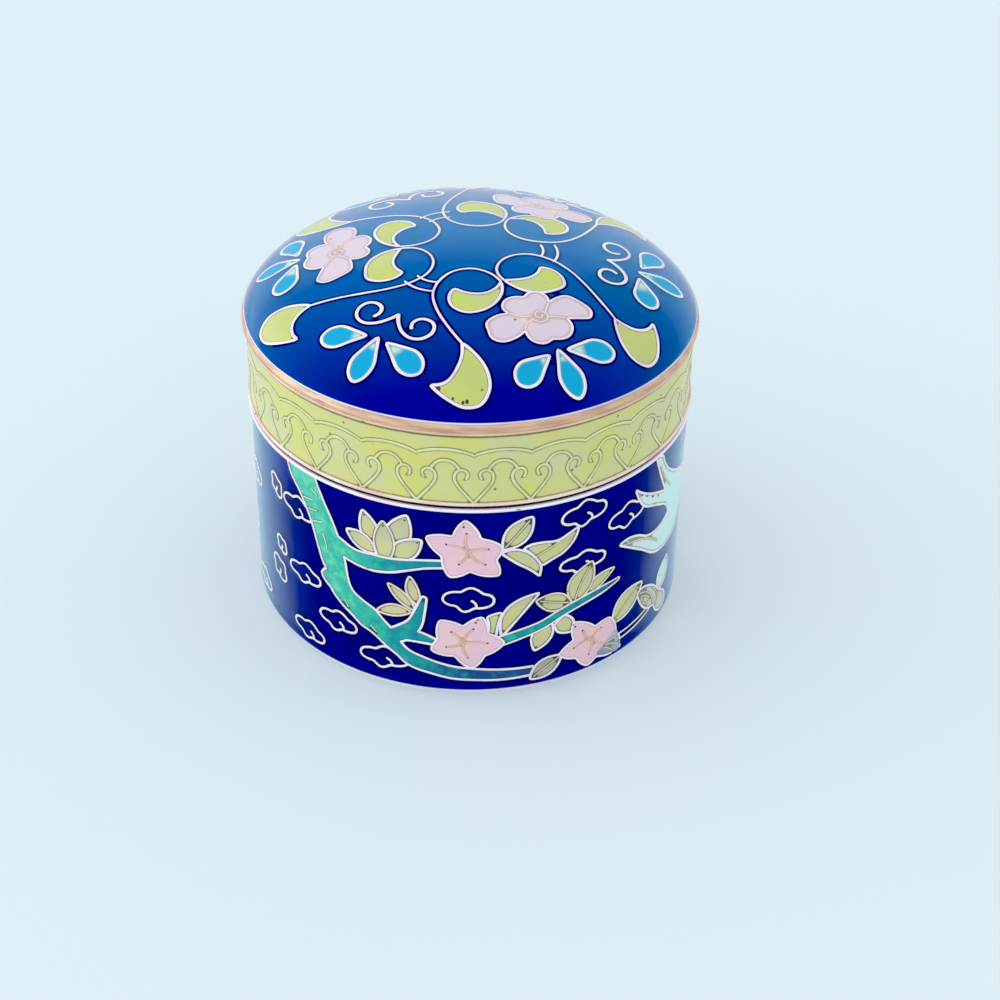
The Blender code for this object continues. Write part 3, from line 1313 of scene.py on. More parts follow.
@dataclass(frozen=True)
class DrumPattern:
    """The drum's pattern: a flowering branch, clouds and a bird on the front, and plainer branches
    and clouds behind. All places are given as turn and level."""

    clouds: tuple[Cloud, ...] = tuple(
        Cloud(*row)
        for row in (
            (30.9, 34.7, 4.3, 2.5, 6), (45, 30.5, 4.3, 2.4, 6), (31.2, 24.9, 4.5, 2.1, 0),
            (1.3, 20.6, 4.3, 2.5, 0), (-34.2, 10.5, 4, 2.2, 0), (-20.6, 6.3, 4.5, 2.3, 6),
            (-45.7, 16.7, 4.1, 2.1, 3), (-47.3, 29.7, 4.1, 2.3, 0), (-44.8, 4.9, 3.9, 2, -4),
            (-57.6, 13.2, 2.7, 2.2, -40), (-55.8, 18.8, 1.9, 1.6, -40), (-57, 30.6, 2.4, 1.8, -50),
            (84, 33.2, 4, 2.3), (112, 17.2, 4, 2.3), (150, 8.6, 4.2, 2.3), (166, 24.6, 3.9, 2.3, 5),
            (-166, 32.6, 4, 2.3), (-160, 19.6, 4.2, 2.3, -4), (-126, 20.6, 3.9, 2.2), (-82, 14.6, 4.1, 2.3),
            (-74, 26.6, 3.9, 2.3, 5), (-98, 7.2, 4.1, 2.3), (-70, 5.6, 3.6, 2),
        )
    )
    leaves: tuple[Leaf, ...] = (
        Leaf((-21.9, 27.6), (-25.7, 35.6), 0.19, 0.2, 0.55),
        Leaf((-22, 27.4), (-30.6, 30.6), 0.2, 0.28, 0.5),
        Leaf((-18.6, 27.4), (-13.9, 36.5), 0.24, 0.2, 0.56), Leaf((-19.6, 27), (-10.2, 32), 0.2, 0.26, 0.56),
        Leaf((-20, 25.6), (-20.2, 34.5), 0.19, 0.21, 0.5, gauge=Gauge.FROND),
        Leaf((-12.9, 17), (-22.5, 15.8), 0.12, 0.24, 0.44, gauge=Gauge.FROND),
        Leaf((-11.9, 17.4), (-19.3, 22.2), 0.13, 0.15, 0.45, gauge=Gauge.FROND),
        Leaf((-11, 18.4), (-13.4, 24.5), 0.22, 0.12, 0.52, gauge=Gauge.FROND),
        Leaf((28.4, 17), (18.3, 19.2), 0.25, 0.25, 0.38, veined=True, gauge=Gauge.FROND),
        Leaf((30, 16.8), (41.6, 20.9), 0.2, 0.08, 0.52, gauge=Gauge.FROND),
        Leaf((28.8, 16.6), (34, 24.4), 0.32, 0.23, 0.4, veined=True, gauge=Gauge.FROND),
        Leaf((22.6, 14.4), (18.4, 8.6), 0.26, 0.3, 0.42), Leaf((128, 28), (121, 34.8)),
        Leaf((131, 27.8), (134, 35.6)), Leaf((104, 23.6), (94, 19.8), veined=True),
        Leaf((98, 11.2), (90, 16.6), veined=True), Leaf((128, 15.6), (131, 8)),
        Leaf((138, 20.6), (145, 13.6), veined=True), Leaf((-117, 29.6), (-111, 35.8)),
        Leaf((-112, 20), (-105, 13.6), veined=True), Leaf((-134, 28.6), (-143, 34.2), veined=True),
        Leaf((-141, 11.6), (-150, 15.8)), Leaf((-124, 13.6), (-120, 6.2), veined=True),
    )
    branches: tuple[Branch, ...] = (
        Branch(-42, 6, (
            (
                (-46.9, 41, 6.6), (-45, 37.4, 6.6), (-42.8, 35.1, 5.5), (-40.7, 32.7, 5.1),
                (-38.4, 29.8, 5.2), (-36.4, 26.2, 5.5), (-35, 23, 5.3), (-33.9, 20.6, 4.4),
                (-33.1, 18.3, 4.7), (-30.8, 16.4, 4.3), (-27.8, 15.1, 4.4), (-24.8, 13.8, 5),
                (-22.3, 12.6, 4), (-20.3, 11.5, 3.7), (-18.6, 10.2, 3.2), (-15.7, 8.4, 2.4),
                (-13.3, 7.2, 2.9), (-11.4, 6.7, 3), (-7.8, 6, 2.7), (-2.9, 5.2, 2.6), (3.4, 4.8, 2.4),
                (9.9, 4.5, 2.2), (18.6, 4.5, 1.8),
            ),
            ((-38.4, 19.9, 1.5), (-37.4, 19.4, 2.6), (-35.4, 18.6, 3.2), (-33, 17.6, 2.6)),
            (
                (-38, 28.4, 3), (-33, 26.6, 3.1), (-28.5, 25.6, 2.8), (-22.9, 25.5, 3.3), (-18.7, 25.8, 2.8),
                (-14.9, 26.4, 2.2), (-9.7, 27.2, 1.6), (-3, 27.6, 1.4),
            ),
            ((-19, 11.2, 3), (-14.8, 12.7, 3.2), (-12, 15, 2.4), (-11, 17.2, 1.8), (-9.7, 20.6, 0.9)),
            ((-15, 12.2, 2.6), (-10.5, 12, 2.1), (-6, 11.1, 1)),
        )),
        Branch(-45, 70, gauge=Gauge.TWIG, limbs=(
            (
                (8, 11.4, 2), (14, 12.6, 1.9), (20, 13.8, 1.7), (26, 15.6, 1.6), (32, 16.7, 1.6),
                (38, 17.4, 1.4), (43.6, 18, 0.5),
            ),
        )),
        Branch(-30, 30, (((43.6, 4.9, 1.3), (51, 5.3, 1.2), (58.6, 6.4, 1)),), Gauge.TWIG, Finish.COBALT),
        Branch(160, 100, (
            (
                (158, 41, 5.2), (154, 32.6, 4.4), (146, 25.6, 4), (136, 20.1, 3.4), (124, 15.1, 2.8),
                (112, 9.1, 2.2), (100, 6.6, 1.5),
            ),
            ((148, 27.1, 2.8), (138, 28.2, 2.2), (127, 27.2, 1.8), (118, 28.6, 1.3)),
        )),
        Branch(-90, -140, (
            (
                (-92, 41, 4.6), (-96, 32.6, 3.8), (-104, 25.1, 3.3), (-114, 18.6, 2.8), (-126, 12.6, 2.2),
                (-138, 9.1, 1.5),
            ),
            ((-101, 27.6, 2.6), (-112, 29, 2), (-122, 30.6, 1.4)),
        )),
    )
    bark: Strokes = (
        ((-41.6, 35.2), (-39.7, 34.6)), ((-44.4, 32.8), (-41.4, 33.1)), ((-42.9, 31), (-39.9, 31.4)),
        ((-41.8, 28.9), (-38.3, 29.6)), ((-38.2, 27.4), (-37.4, 26.2), (-37, 24.6)),
        ((-31.7, 15.6), (-30.6, 14.6)), ((-24, 12.2), (-22.6, 11.3)),
    )
    upper_leaves: tuple[Leaf, ...] = (
        Leaf((9.6, 30.4), (17, 36.4), 0.25, 0.26, 0.46, veined=True),
        Leaf((9.8, 12.6), (19.4, 20.8), 0.28, 0, 0.45),
        Leaf((41.8, 8.6), (53.3, 13.7), 0.34, 0.2, 0.42, veined=True),
        Leaf((26.2, 6.4), (17.4, 2.6), 0.24, 0.28, 0.5, veined=True, finish=Finish.GREY_LEAF),
        Leaf((63, 7.4), (67.6, 13.6), 0.34, 0.3, 0.46, finish=Finish.FEATHER),
    )
    patches: tuple[Patch, ...] = (
        Patch(Finish.LEAF, drift=((16, 29), (29, 32)), strokes=(
            ((14.7, 30.2), (16.5, 30.8), (19.3, 30.9), (24, 30.7), (26.9, 31.6)),
            ((29.4, 32.4), (28.2, 30), (25.3, 28), (22.3, 27.1)), ((19.5, 26.2), (17.9, 28.1)),
        ), veins=(
            ((17.9, 28.2), (20.3, 29.1), (22.1, 29.6), (24, 30.4), (28.2, 32.1)),
        )),
        Patch(Finish.LEAF, drift=((18, 26), (9, 30)), strokes=(
            ((9.2, 29.8), (13.6, 27.3), (16.7, 25.8)), ((19.2, 24.1),),
            ((19.5, 26.2), (17.9, 28.1), (15.3, 29.7), (12, 30.3)),
        )),
        Patch(Finish.LEAF, drift=((9, 17), (6, 13)), strokes=(
            ((5.9, 16.9), (8, 17.5)), ((9.9, 17.7), (9, 15.8)), ((8.5, 12.9),), ((6, 13.1), (6.6, 14.8)),
        )),
        Patch(Finish.LEAF, drift=((25, 13), (29, 11)), strokes=(
            ((26.4, 14.9),), ((23.4, 13.2),), ((24.7, 11.5), (26.6, 11)), ((28.8, 10.8), (29.2, 12.8)),
        )),
        Patch(Finish.BUD, drift=((54, 10), (68, 4)), strokes=(
            ((51.3, 11.6), (53.2, 12.1), (56, 11.6), (59.6, 10.2), (62.9, 8)),
            ((66.4, 6.2), (68.2, 4.2), (67.8, 2.9), (65.4, 2.6), (63, 3.2)),
            ((60.3, 5.8), (57.6, 6.1), (54.9, 7.3), (52.8, 9.2)),
        ), veins=(
            ((52.6, 11.2), (55.9, 10.3), (58.5, 8.4), (59.9, 6.4)),
            ((53.2, 10.2), (56, 9.4), (57.8, 8), (56.4, 7.6), (54.2, 8.8)),
            ((58.9, 10), (61.9, 7.7), (62.7, 6.1), (61.6, 4.6)),
        )),
        Patch(Finish.FEATHER, drift=((44, 25), (70, 25)), strokes=(
            ((47.6, 34.5), (52, 32.3), (57.5, 30.5)), ((62.4, 29.3), (60.2, 31.8), (58, 34.8)),
            ((55.8, 38.3),), ((59.6, 37.2), (62.1, 34.2), (69, 30.6), (77, 28.4), (83, 27)),
            ((87, 25.2), (82, 22.4), (77.1, 19.4), (71.3, 17.2), (65, 16.9), (59.3, 17.6), (51.2, 21.2)),
            ((42.6, 24.9), (45.7, 25.3), (49.7, 24.6), (54.4, 22.9), (58, 22.5)),
            ((65.2, 23.6), (64.2, 25.2), (58.5, 27.7), (51.1, 30.3), (49.1, 32.2)),
        ), veins=(
            ((45.8, 24.2), (53.9, 22.5), (59.5, 19.9)), ((59, 34.8), (62.4, 31.4), (66, 28.9)),
        ), pores=(
            (50.4, 32.5), (52.7, 31.6), (55.4, 30.5), (58.4, 29.6), (60.3, 33.4), (45.1, 24.6),
        )),
    )
    blossoms: tuple[Blossom, ...] = (
        Blossom(
            (1.1, 30.3), ((0.4, 36.5), (-9.3, 32.8), (-3.4, 25.1), (9, 25.4), (9.6, 31)),
            ((-2.6, 33.2), (-5.3, 29.2), (1.6, 26.4), (7.9, 28.5), (4.2, 32.8)),
        ),
        Blossom(
            (0, 11.5), ((4.9, 17), (-5.8, 16.1), (-8, 9.6), (2.4, 6.1), (10.7, 11.3)),
            ((0.1, 15), (-6.2, 12.1), (-1.9, 8.8), (5.5, 8.8), (6.3, 13.4)),
        ),
        Blossom(
            (35.1, 7.6), ((29, 12.6), (25.2, 6.4), (34, 2), (45.4, 2.4), (41, 10.4)),
            ((29.6, 8.7), (30.4, 4.7), (36.8, 3.2), (43.4, 6.6), (36, 9.9)),
        ),
        Blossom((112, 28.6)), Blossom((97, 7.8), size=0.84), Blossom((-127, 30.2)),
        Blossom((-141, 8.6), size=0.86),
    )
    folded_petal: Patch = Patch(Finish.SHADE, drift=((44, 6), (39, 2)), strokes=(
        ((39.6, 5), (41.2, 6.2), (42.9, 7)), ((44.6, 4.9), (45.5, 3.4), (45.2, 2.4)),
        ((42, 2.3), (38.6, 2.7), (37, 3.3)),
    ), veins=(
        ((40.2, 5), (41.9, 5.3), (43.6, 5.2)), ((40.2, 4.6), (42.2, 4.3), (44.4, 3.4)),
        ((39.8, 4.2), (41, 3.6), (42.4, 2.8)),
    ), wired=False)

    def draw(self, drawing: Drawing, top: float) -> None:
        """Lays the whole pattern.

        Args:
            drawing: What it is laid in.
            top: Level under which its branches stay.
        """
        for item in (*self.clouds, *self.leaves):
            item.draw(drawing)
        for branch in self.branches:
            branch.draw(drawing, top)
        for stroke in self.bark:
            drawing.lay(strand(*spots(stroke)), Gauge.BARK)
        for item in (*self.upper_leaves, *self.patches, *self.blossoms, self.folded_petal):
            item.draw(drawing)


# ---- materials


class Graph:
    """Adds and joins the nodes of one tree."""

    def __init__(self, tree: bpy.types.NodeTree) -> None:
        """Starts from an empty tree."""
        self.tree = tree
        tree.nodes.clear()

    def node(self, kind: str, inputs: Inputs | None = None, **settings: object) -> Node:
        """Adds a node.

        Args:
            kind: Its type.
            inputs: Values or sockets for its inputs.
            settings: Its own settings.

        Returns:
            The node.
        """
        made = self.tree.nodes.new(kind)
        for name, value in settings.items():
            setattr(made, name, value)
        for name, value in (inputs or {}).items():
            if isinstance(value, Socket):
                self.tree.links.new(value, made.inputs[name])
            else:
                made.inputs[name].default_value = value
        return made

    def blend(self, share: Socket | float, first: Socket | Colour, second: Socket | Colour) -> Socket:
        """Mixes two colours."""
        pair = [c if isinstance(c, Socket) else (*c, 1.0) for c in (first, second)]
        return self.node("ShaderNodeMix", {0: share, 6: pair[0], 7: pair[1]}, data_type="RGBA").outputs[2]

    def sum(self, operation: str, *values: Socket | float) -> Socket:
        """Does one sum on numbers."""
        return self.node("ShaderNodeMath", dict(enumerate(values)), operation=operation).outputs[0]

    def remap(
        self, value: Socket, low: float, high: float, to_low: float = 0.0, to_high: float = 1.0
    ) -> Socket:
        """Stretches a number from one range to another, and clamps it there."""
        limits = {"Value": value, "From Min": low, "From Max": high, "To Min": to_low, "To Max": to_high}
        return self.node("ShaderNodeMapRange", limits, interpolation_type="SMOOTHSTEP").outputs["Result"]

    def profile(self, value: Socket, stations: Profile) -> Socket:
        """Turns a number from 0 to 1 into another along straight stretches between stations.

        Args:
            value: The number.
            stations: Levels at rising places.

        Returns:
            The other number.
        """
        ramp = self.node("ShaderNodeValToRGB", {"Fac": value})
        stops = ramp.color_ramp.elements
        while len(stops) < len(stations):
            stops.new(1.0)
        for stop, (place, level) in zip(stops, stations):
            stop.position = place
            stop.color = (level, level, level, 1.0)
        return ramp.outputs["Color"]

    def places(self) -> Socket:
        """Places on the object, in metres."""
        return self.node("ShaderNodeTexCoord").outputs["Object"]

    def noise(self, scale: Socket | float, detail: float, where: Socket | None = None) -> Socket:
        """A cloudy number over the object."""
        inputs = {"Vector": where or self.places(), "Scale": scale, "Detail": detail}
        return self.node("ShaderNodeTexNoise", inputs).outputs["Fac"]

    def spots(self, where: Socket, scale: Socket, share: Socket, core: float, rim: float) -> Socket:
        """Scatters round spots.

        Args:
            where: Places on the object.
            scale: How fine the field is that they lie in.
            share: Share of its places that hold a spot.
            core: Radius up to which a spot is full, in the field's units.
            rim: Radius where it ends.

        Returns:
            1 on the spots and 0 between them.
        """
        cells = self.node("ShaderNodeTexVoronoi", {"Vector": where, "Scale": scale})
        lot = self.node("ShaderNodeSeparateColor", {0: cells.outputs["Color"]}).outputs[0]
        chosen = self.sum("LESS_THAN", lot, share)
        return self.sum("MULTIPLY", chosen, self.remap(cells.outputs["Distance"], core, rim, 1.0, 0.0))


class Effect(ABC):
    """A shader node group that several materials share."""

    name: str
    takes: dict[str, float]
    gives: tuple[str, ...]

    def make(self) -> bpy.types.ShaderNodeTree:
        """Builds the group once.

        Returns:
            The group.
        """
        tree = bpy.data.node_groups.new(self.name, "ShaderNodeTree")
        for name, value in self.takes.items():
            socket = tree.interface.new_socket(name, in_out="INPUT", socket_type="NodeSocketFloat")
            socket.default_value = value
        for name in self.gives:
            tree.interface.new_socket(name, in_out="OUTPUT", socket_type="NodeSocketFloat")
        graph = Graph(tree)
        results = self.wire(graph, graph.node("NodeGroupInput").outputs)
        graph.node("NodeGroupOutput", dict(zip(self.gives, results)))
        return tree

    @abstractmethod
    def wire(self, graph: Graph, taken: Outputs) -> tuple[Socket, ...]:
        """Builds the inside, with one socket for each output."""


class FiredGlass(Effect):
    """Slow drift of colour, fine grain, pinholes and polish waves of fired glass."""

    name = "fired_glass"
    takes = {"Drift Scale": 90.0, "Grain Scale": 1400.0, "Pinhole Scale": 420.0, "Pinholes": 0.12}
    gives = ("Drift", "Pinhole", "Height")

    def wire(self, graph: Graph, taken: Outputs) -> tuple[Socket, ...]:
        """Builds the inside.

        Args:
            graph: The group's graph.
            taken: Its inputs.

        Returns:
            The drift, the pinholes, and the height of grain, waves and pinholes.
        """
        drift = graph.remap(graph.noise(taken["Drift Scale"], 4.0), 0.32, 0.68)
        pinhole = graph.spots(graph.places(), taken["Pinhole Scale"], taken["Pinholes"], 0.06, 0.13)
        waves = graph.sum("MULTIPLY", graph.noise(260.0, 1.0), 0.5)
        bumps = graph.sum("MULTIPLY_ADD", graph.noise(taken["Grain Scale"], 2.0), 0.06, waves)
        return drift, pinhole, graph.sum("MULTIPLY_ADD", pinhole, -0.5, bumps)


class WireContact(Effect):
    """How close the glass is to its wires, with a ragged limit: the mask of the painted shade along them."""

    name = "wire_contact"
    takes = {"Reach": 0.3, "Raggedness": 0.16}
    gives = ("Contact",)

    def wire(self, graph: Graph, taken: Outputs) -> tuple[Socket, ...]:
        """Builds the inside.

        Args:
            graph: The group's graph.
            taken: Its inputs.

        Returns:
            The contact, from each place's distance to the wires.
        """
        distance = graph.node("ShaderNodeAttribute", attribute_name=WIRE_DISTANCE).outputs["Fac"]
        middling = graph.sum("SUBTRACT", graph.noise(900.0, 2.0), 0.5)
        ragged = graph.sum("MULTIPLY", middling, taken["Raggedness"])
        share = graph.sum("DIVIDE", graph.sum("ADD", distance, ragged), taken["Reach"])
        return (graph.remap(share, 0.0, 1.0, 1.0, 0.0),)


class MetalWear(Effect):
    """Cloudy tarnish, dark specks and fine scratches of polished metal."""

    name = "metal_wear"
    takes = {"Cloud Scale": 160.0, "Speck Scale": 700.0, "Specks": 0.02, "Layering": 3.0}
    gives = ("Tarnish", "Speck", "Height")

    def wire(self, graph: Graph, taken: Outputs) -> tuple[Socket, ...]:
        """Builds the inside.

        Args:
            graph: The group's graph.
            taken: Its inputs.

        Returns:
            Tarnish, specks and height, all drawn out level by the layering.
        """
        stretch = graph.node("ShaderNodeCombineXYZ", {"X": 1.0, "Y": 1.0, "Z": taken["Layering"]}).outputs[0]
        both = {0: graph.places(), 1: stretch}
        drawn_out = graph.node("ShaderNodeVectorMath", both, operation="MULTIPLY").outputs[0]
        tarnish = graph.remap(graph.noise(taken["Cloud Scale"], 5.0, drawn_out), 0.36, 0.7)
        speck = graph.spots(drawn_out, taken["Speck Scale"], taken["Specks"], 0.15, 0.4)
        scratches = graph.noise(2600.0, 2.0, drawn_out)
        return tarnish, speck, graph.sum("MULTIPLY_ADD", speck, -0.6, scratches)


class Groups:
    """The shared effects, each built once."""

    def __init__(self) -> None:
        """Builds every group."""
        self.trees = {kind: kind().make() for kind in (FiredGlass, WireContact, MetalWear)}

    def place(self, graph: Graph, kind: type[Effect], **values: float) -> Outputs:
        """Puts a group into a material with its own values, named with an underscore for a space."""
        inputs = {name.replace("_", " "): value for name, value in values.items()}
        return graph.node("ShaderNodeGroup", inputs, node_tree=self.trees[kind]).outputs


def dressed(name: str, dress: Callable[[Graph], Node]) -> bpy.types.Material:
    """Makes a material.

    Args:
        name: Its name.
        dress: Builds its nodes and returns its shader.

    Returns:
        The material.
    """
    material = bpy.data.materials.new(name)
    material.use_nodes = True
    graph = Graph(material.node_tree)
    graph.node("ShaderNodeOutputMaterial", {"Surface": dress(graph).outputs[0]})
    return material


@dataclass(frozen=True)
class Stage:
    """A colour that a cell's glass takes on between two stations of its drift."""

    start: float
    full: float
    colour: Colour


@dataclass(frozen=True)
class GlassFinish:
    """A fired glass. Its profiles run from seen straight on (0) to seen edge on (1)."""

    body: Colour  # where it is thick
    pale: Colour  # where it is thin
    # edge is mostly painted shade in the crease along each wire; the drops' greener rim is their own glass
    edge: Colour  # against the wires
    edge_reach: float = 0.3  # how far from the wires that colour reaches, in millimetres
    stages: tuple[Stage, ...] = ()  # colours that it takes on one after the other along a cell's drift
    drift_scale: float = 90.0  # how fine its cloudy change between body and pale is
    specular: float = 0.5
    glint: Colour = (1.0, 1.0, 1.0)  # tint of its mirror when seen straight on
    gloss: Profile = ()  # level of its mirror
    haze: Profile = ()  # strength of its sheen
    wax: Profile = ()  # strength of the polishing wax's mirror
    haze_tint: Colour = (0.0, 0.85, 1.0)
    roughness: Pair = (0.12, 0.2)  # least and most

    def dress(self, graph: Graph, groups: Groups) -> Node:
        """Builds the nodes.

        Args:
            graph: The material's graph.
            groups: The shared effects.

        Returns:
            The shader.
        """
        fired = groups.place(graph, FiredGlass, Drift_Scale=self.drift_scale)
        contact = groups.place(graph, WireContact, Reach=self.edge_reach)
        colour = graph.blend(fired["Drift"], self.body, self.pale)
        if self.stages:
            tone = graph.node("ShaderNodeAttribute", attribute_name=TONE).outputs["Fac"]
            uneven = graph.sum("MULTIPLY_ADD", graph.sum("SUBTRACT", fired["Drift"], 0.5), 0.3, tone)
            for stage in self.stages:
                colour = graph.blend(graph.remap(uneven, stage.start, stage.full), colour, stage.colour)
        # painted shade: near each wire the glass turns to its edge colour
        colour = graph.blend(contact["Contact"], colour, self.edge)
        inputs = {
            "Base Color": graph.blend(fired["Pinhole"], colour, tuple(0.25 * c for c in self.body)),
            "Roughness": graph.sum(
                "MULTIPLY_ADD", fired["Pinhole"], 0.4, graph.remap(fired["Drift"], 0.0, 1.0, *self.roughness)
            ),
            "Normal": graph.node(
                "ShaderNodeBump", {"Strength": 0.35, "Distance": 0.00006, "Height": fired["Height"]}
            ).outputs[0],
            "IOR": 1.5,
            "Specular IOR Level": self.specular,
            "Specular Tint": (*self.glint, 1.0),
            "Sheen Roughness": 0.5,
            "Sheen Tint": (*self.haze_tint, 1.0),
        }
        slant = graph.node("ShaderNodeLayerWeight", {"Blend": 0.5}).outputs["Facing"]
        by_slant = {"Specular IOR Level": self.gloss, "Sheen Weight": self.haze, "Coat Weight": self.wax}
        inputs |= {name: graph.profile(slant, stations) for name, stations in by_slant.items() if stations}
        return graph.node("ShaderNodeBsdfPrincipled", inputs)


@dataclass(frozen=True)
class MetalFinish:
    """A polished metal: its clean colour, its tarnish and its specks."""

    body: Colour
    dull: Colour
    speck: Colour
    roughness: Pair = (0.22, 0.38)  # least and most
    specks: float = 0.012  # share of places that hold one
    speck_scale: float = 700.0
    metallic: float = 0.4
    layering: float = 3.0  # how far its tarnish is drawn out into level streaks

    def dress(self, graph: Graph, groups: Groups) -> Node:
        """Builds the nodes.

        Args:
            graph: The material's graph.
            groups: The shared effects.

        Returns:
            The shader.
        """
        amounts = {"Specks": self.specks, "Speck_Scale": self.speck_scale, "Layering": self.layering}
        wear = groups.place(graph, MetalWear, **amounts)
        colour = graph.blend(wear["Tarnish"], self.body, self.dull)
        polish = graph.remap(wear["Tarnish"], 0.0, 1.0, *self.roughness)
        bump = graph.node("ShaderNodeBump", {"Strength": 0.3, "Distance": 0.00004, "Height": wear["Height"]})
        inputs = {
            "Base Color": graph.blend(wear["Speck"], colour, self.speck),
            "Roughness": graph.sum("MULTIPLY_ADD", wear["Speck"], 0.3, polish),
            "Metallic": self.metallic,
            "Normal": bump.outputs[0],
        }
        return graph.node("ShaderNodeBsdfPrincipled", inputs)


# The third colour of each glass is its edge colour, mostly painted shade along the wires.
DRUM_GLASS = GlassFinish(
    rgb(0, 0, 116), rgb(0, 1, 132), rgb(0, 0, 30), edge_reach=0.65, glint=(0, 0.3, 1), roughness=(0.1, 0.18),
    gloss=((0.56, 0), (0.82, 0.8)), haze=((0.47, 0), (0.66, 0.22)), wax=((0.58, 0), (0.85, 0.6)),
)
# The lid's glass is the drum's cobalt made lighter, with a strong cyan sheen: painted light, and a sheen
# that stands in for the reflected bright room the lid faces.
LID_GLASS = replace(
    DRUM_GLASS, body=rgb(0, 0, 132), pale=rgb(0, 1, 144),
    gloss=((0.47, 0), (0.63, 0.64)), wax=((0.53, 0), (0.82, 0.65)),
    haze=((0.08, 0), (0.2, 0.45), (0.33, 0.88), (0.46, 1), (0.58, 0.82), (0.7, 0.4), (0.84, 0)),
)
FINISHES: dict[Finish, GlassFinish | MetalFinish] = {
    Finish.COBALT: DRUM_GLASS,
    Finish.LID_COBALT: LID_GLASS,
    # Beside the lid's wires the sheen is left out, so that the painted shade along them stays dark.
    Finish.LID_BESIDE: replace(LID_GLASS, haze=((0.4, 0), (0.56, 0.7), (0.7, 0.4), (0.84, 0))),
    Finish.YELLOW_GREEN: GlassFinish(
        rgb(219, 213, 112), rgb(214, 210, 150), rgb(112, 114, 56), drift_scale=120
    ),
    Finish.COMMA: GlassFinish(
        rgb(193, 199, 104), rgb(202, 204, 120), rgb(112, 116, 62), edge_reach=0.22,
        stages=(Stage(0.5, 1.2, rgb(200, 206, 84)),),
    ),
    Finish.LEAF: GlassFinish(
        rgb(214, 204, 134), rgb(210, 205, 152), rgb(84, 72, 58), drift_scale=240,
        stages=(Stage(0.4, 1.1, rgb(192, 188, 150)),),
    ),
    Finish.GREY_LEAF: GlassFinish(rgb(172, 164, 146), rgb(198, 184, 168), rgb(78, 70, 70), drift_scale=260),
    Finish.SHADE: GlassFinish(
        rgb(204, 196, 196), rgb(180, 184, 196), rgb(130, 126, 144),
        stages=(Stage(0.4, 1.2, rgb(112, 122, 160)),),
    ),
    Finish.PETAL: GlassFinish(rgb(222, 198, 211), rgb(226, 202, 206), rgb(202, 168, 164), edge_reach=0.65),
    Finish.FOLD: GlassFinish(rgb(246, 196, 174), rgb(242, 204, 190), rgb(220, 170, 158)),
    Finish.BLOSSOM: GlassFinish(
        rgb(240, 192, 208), rgb(246, 200, 204), rgb(204, 158, 160), edge_reach=0.24, drift_scale=190,
        stages=(Stage(0.28, 0.06, rgb(252, 200, 178)), Stage(0.8, 1.2, rgb(226, 192, 220))),
    ),
    Finish.DROP: GlassFinish(
        rgb(0, 160, 202), rgb(0, 164, 206), rgb(96, 180, 182), edge_reach=0.34, specular=0.12,
        stages=(Stage(0.6, 0.3, rgb(212, 220, 190)),),
    ),
    Finish.BRANCH: GlassFinish(
        rgb(104, 210, 172), rgb(84, 196, 164), rgb(10, 84, 80), specular=0.2, drift_scale=480,
        edge_reach=0.24, stages=(
            Stage(0, 0.3, rgb(46, 182, 156)), Stage(0.3, 0.6, rgb(0, 148, 152)),
            Stage(0.62, 1, rgb(0, 72, 136)),
        ),
    ),
    Finish.FEATHER: GlassFinish(
        rgb(226, 224, 216), rgb(220, 230, 222), rgb(130, 146, 146),
        stages=(Stage(0.1, 0.8, rgb(205, 244, 236)),),
    ),
    Finish.BUD: GlassFinish(rgb(206, 208, 176), rgb(214, 206, 190), rgb(120, 116, 104), drift_scale=220),
    Finish.PORE: GlassFinish(rgb(52, 40, 40), rgb(84, 64, 60), rgb(30, 24, 28), roughness=(0.5, 0.7)),
    Finish.COUNTER: GlassFinish(rgb(20, 120, 170), rgb(40, 140, 180), rgb(20, 90, 140)),
    Finish.SILVERED_WIRE: MetalFinish(rgb(255, 244, 252), rgb(246, 226, 240), rgb(176, 150, 162)),
    Finish.ROSY_WIRE: MetalFinish(rgb(252, 236, 250), rgb(234, 212, 236), rgb(170, 136, 146)),
    Finish.CREAM_WIRE: MetalFinish(rgb(236, 232, 174), rgb(222, 210, 160), rgb(140, 120, 84)),
    Finish.TAN_WIRE: MetalFinish(rgb(248, 206, 178), rgb(232, 184, 160), rgb(150, 110, 96)),
    Finish.BLUSH_WIRE: MetalFinish(rgb(250, 232, 214), rgb(240, 214, 200), rgb(160, 130, 120)),
    Finish.MINT_WIRE: MetalFinish(rgb(214, 240, 200), rgb(190, 226, 190), rgb(120, 150, 120)),
    # Lavender-white metal of the bead's upper lip: painted highlight.
    Finish.LIP: MetalFinish(rgb(240, 226, 244), rgb(224, 202, 220), rgb(160, 130, 150)),
    Finish.GILT: MetalFinish(
        rgb(255, 246, 252), rgb(255, 228, 238), rgb(160, 124, 116), specks=0.03, metallic=0.15
    ),
    Finish.ROSE_GILT: MetalFinish(
        rgb(252, 226, 212), rgb(238, 200, 188), rgb(160, 116, 108), specks=0.03, metallic=0.25
    ),
    Finish.COPPER: MetalFinish(
        rgb(230, 190, 152), rgb(198, 152, 128), rgb(160, 130, 176), specks=0.1, speck_scale=260, layering=9
    ),
    # Near-black metal: painted shade for the dark gaps between the rims.
    Finish.SEAT: MetalFinish(
        rgb(40, 30, 26), rgb(24, 18, 18), rgb(10, 8, 8), roughness=(0.6, 0.8), metallic=0
    ),
}


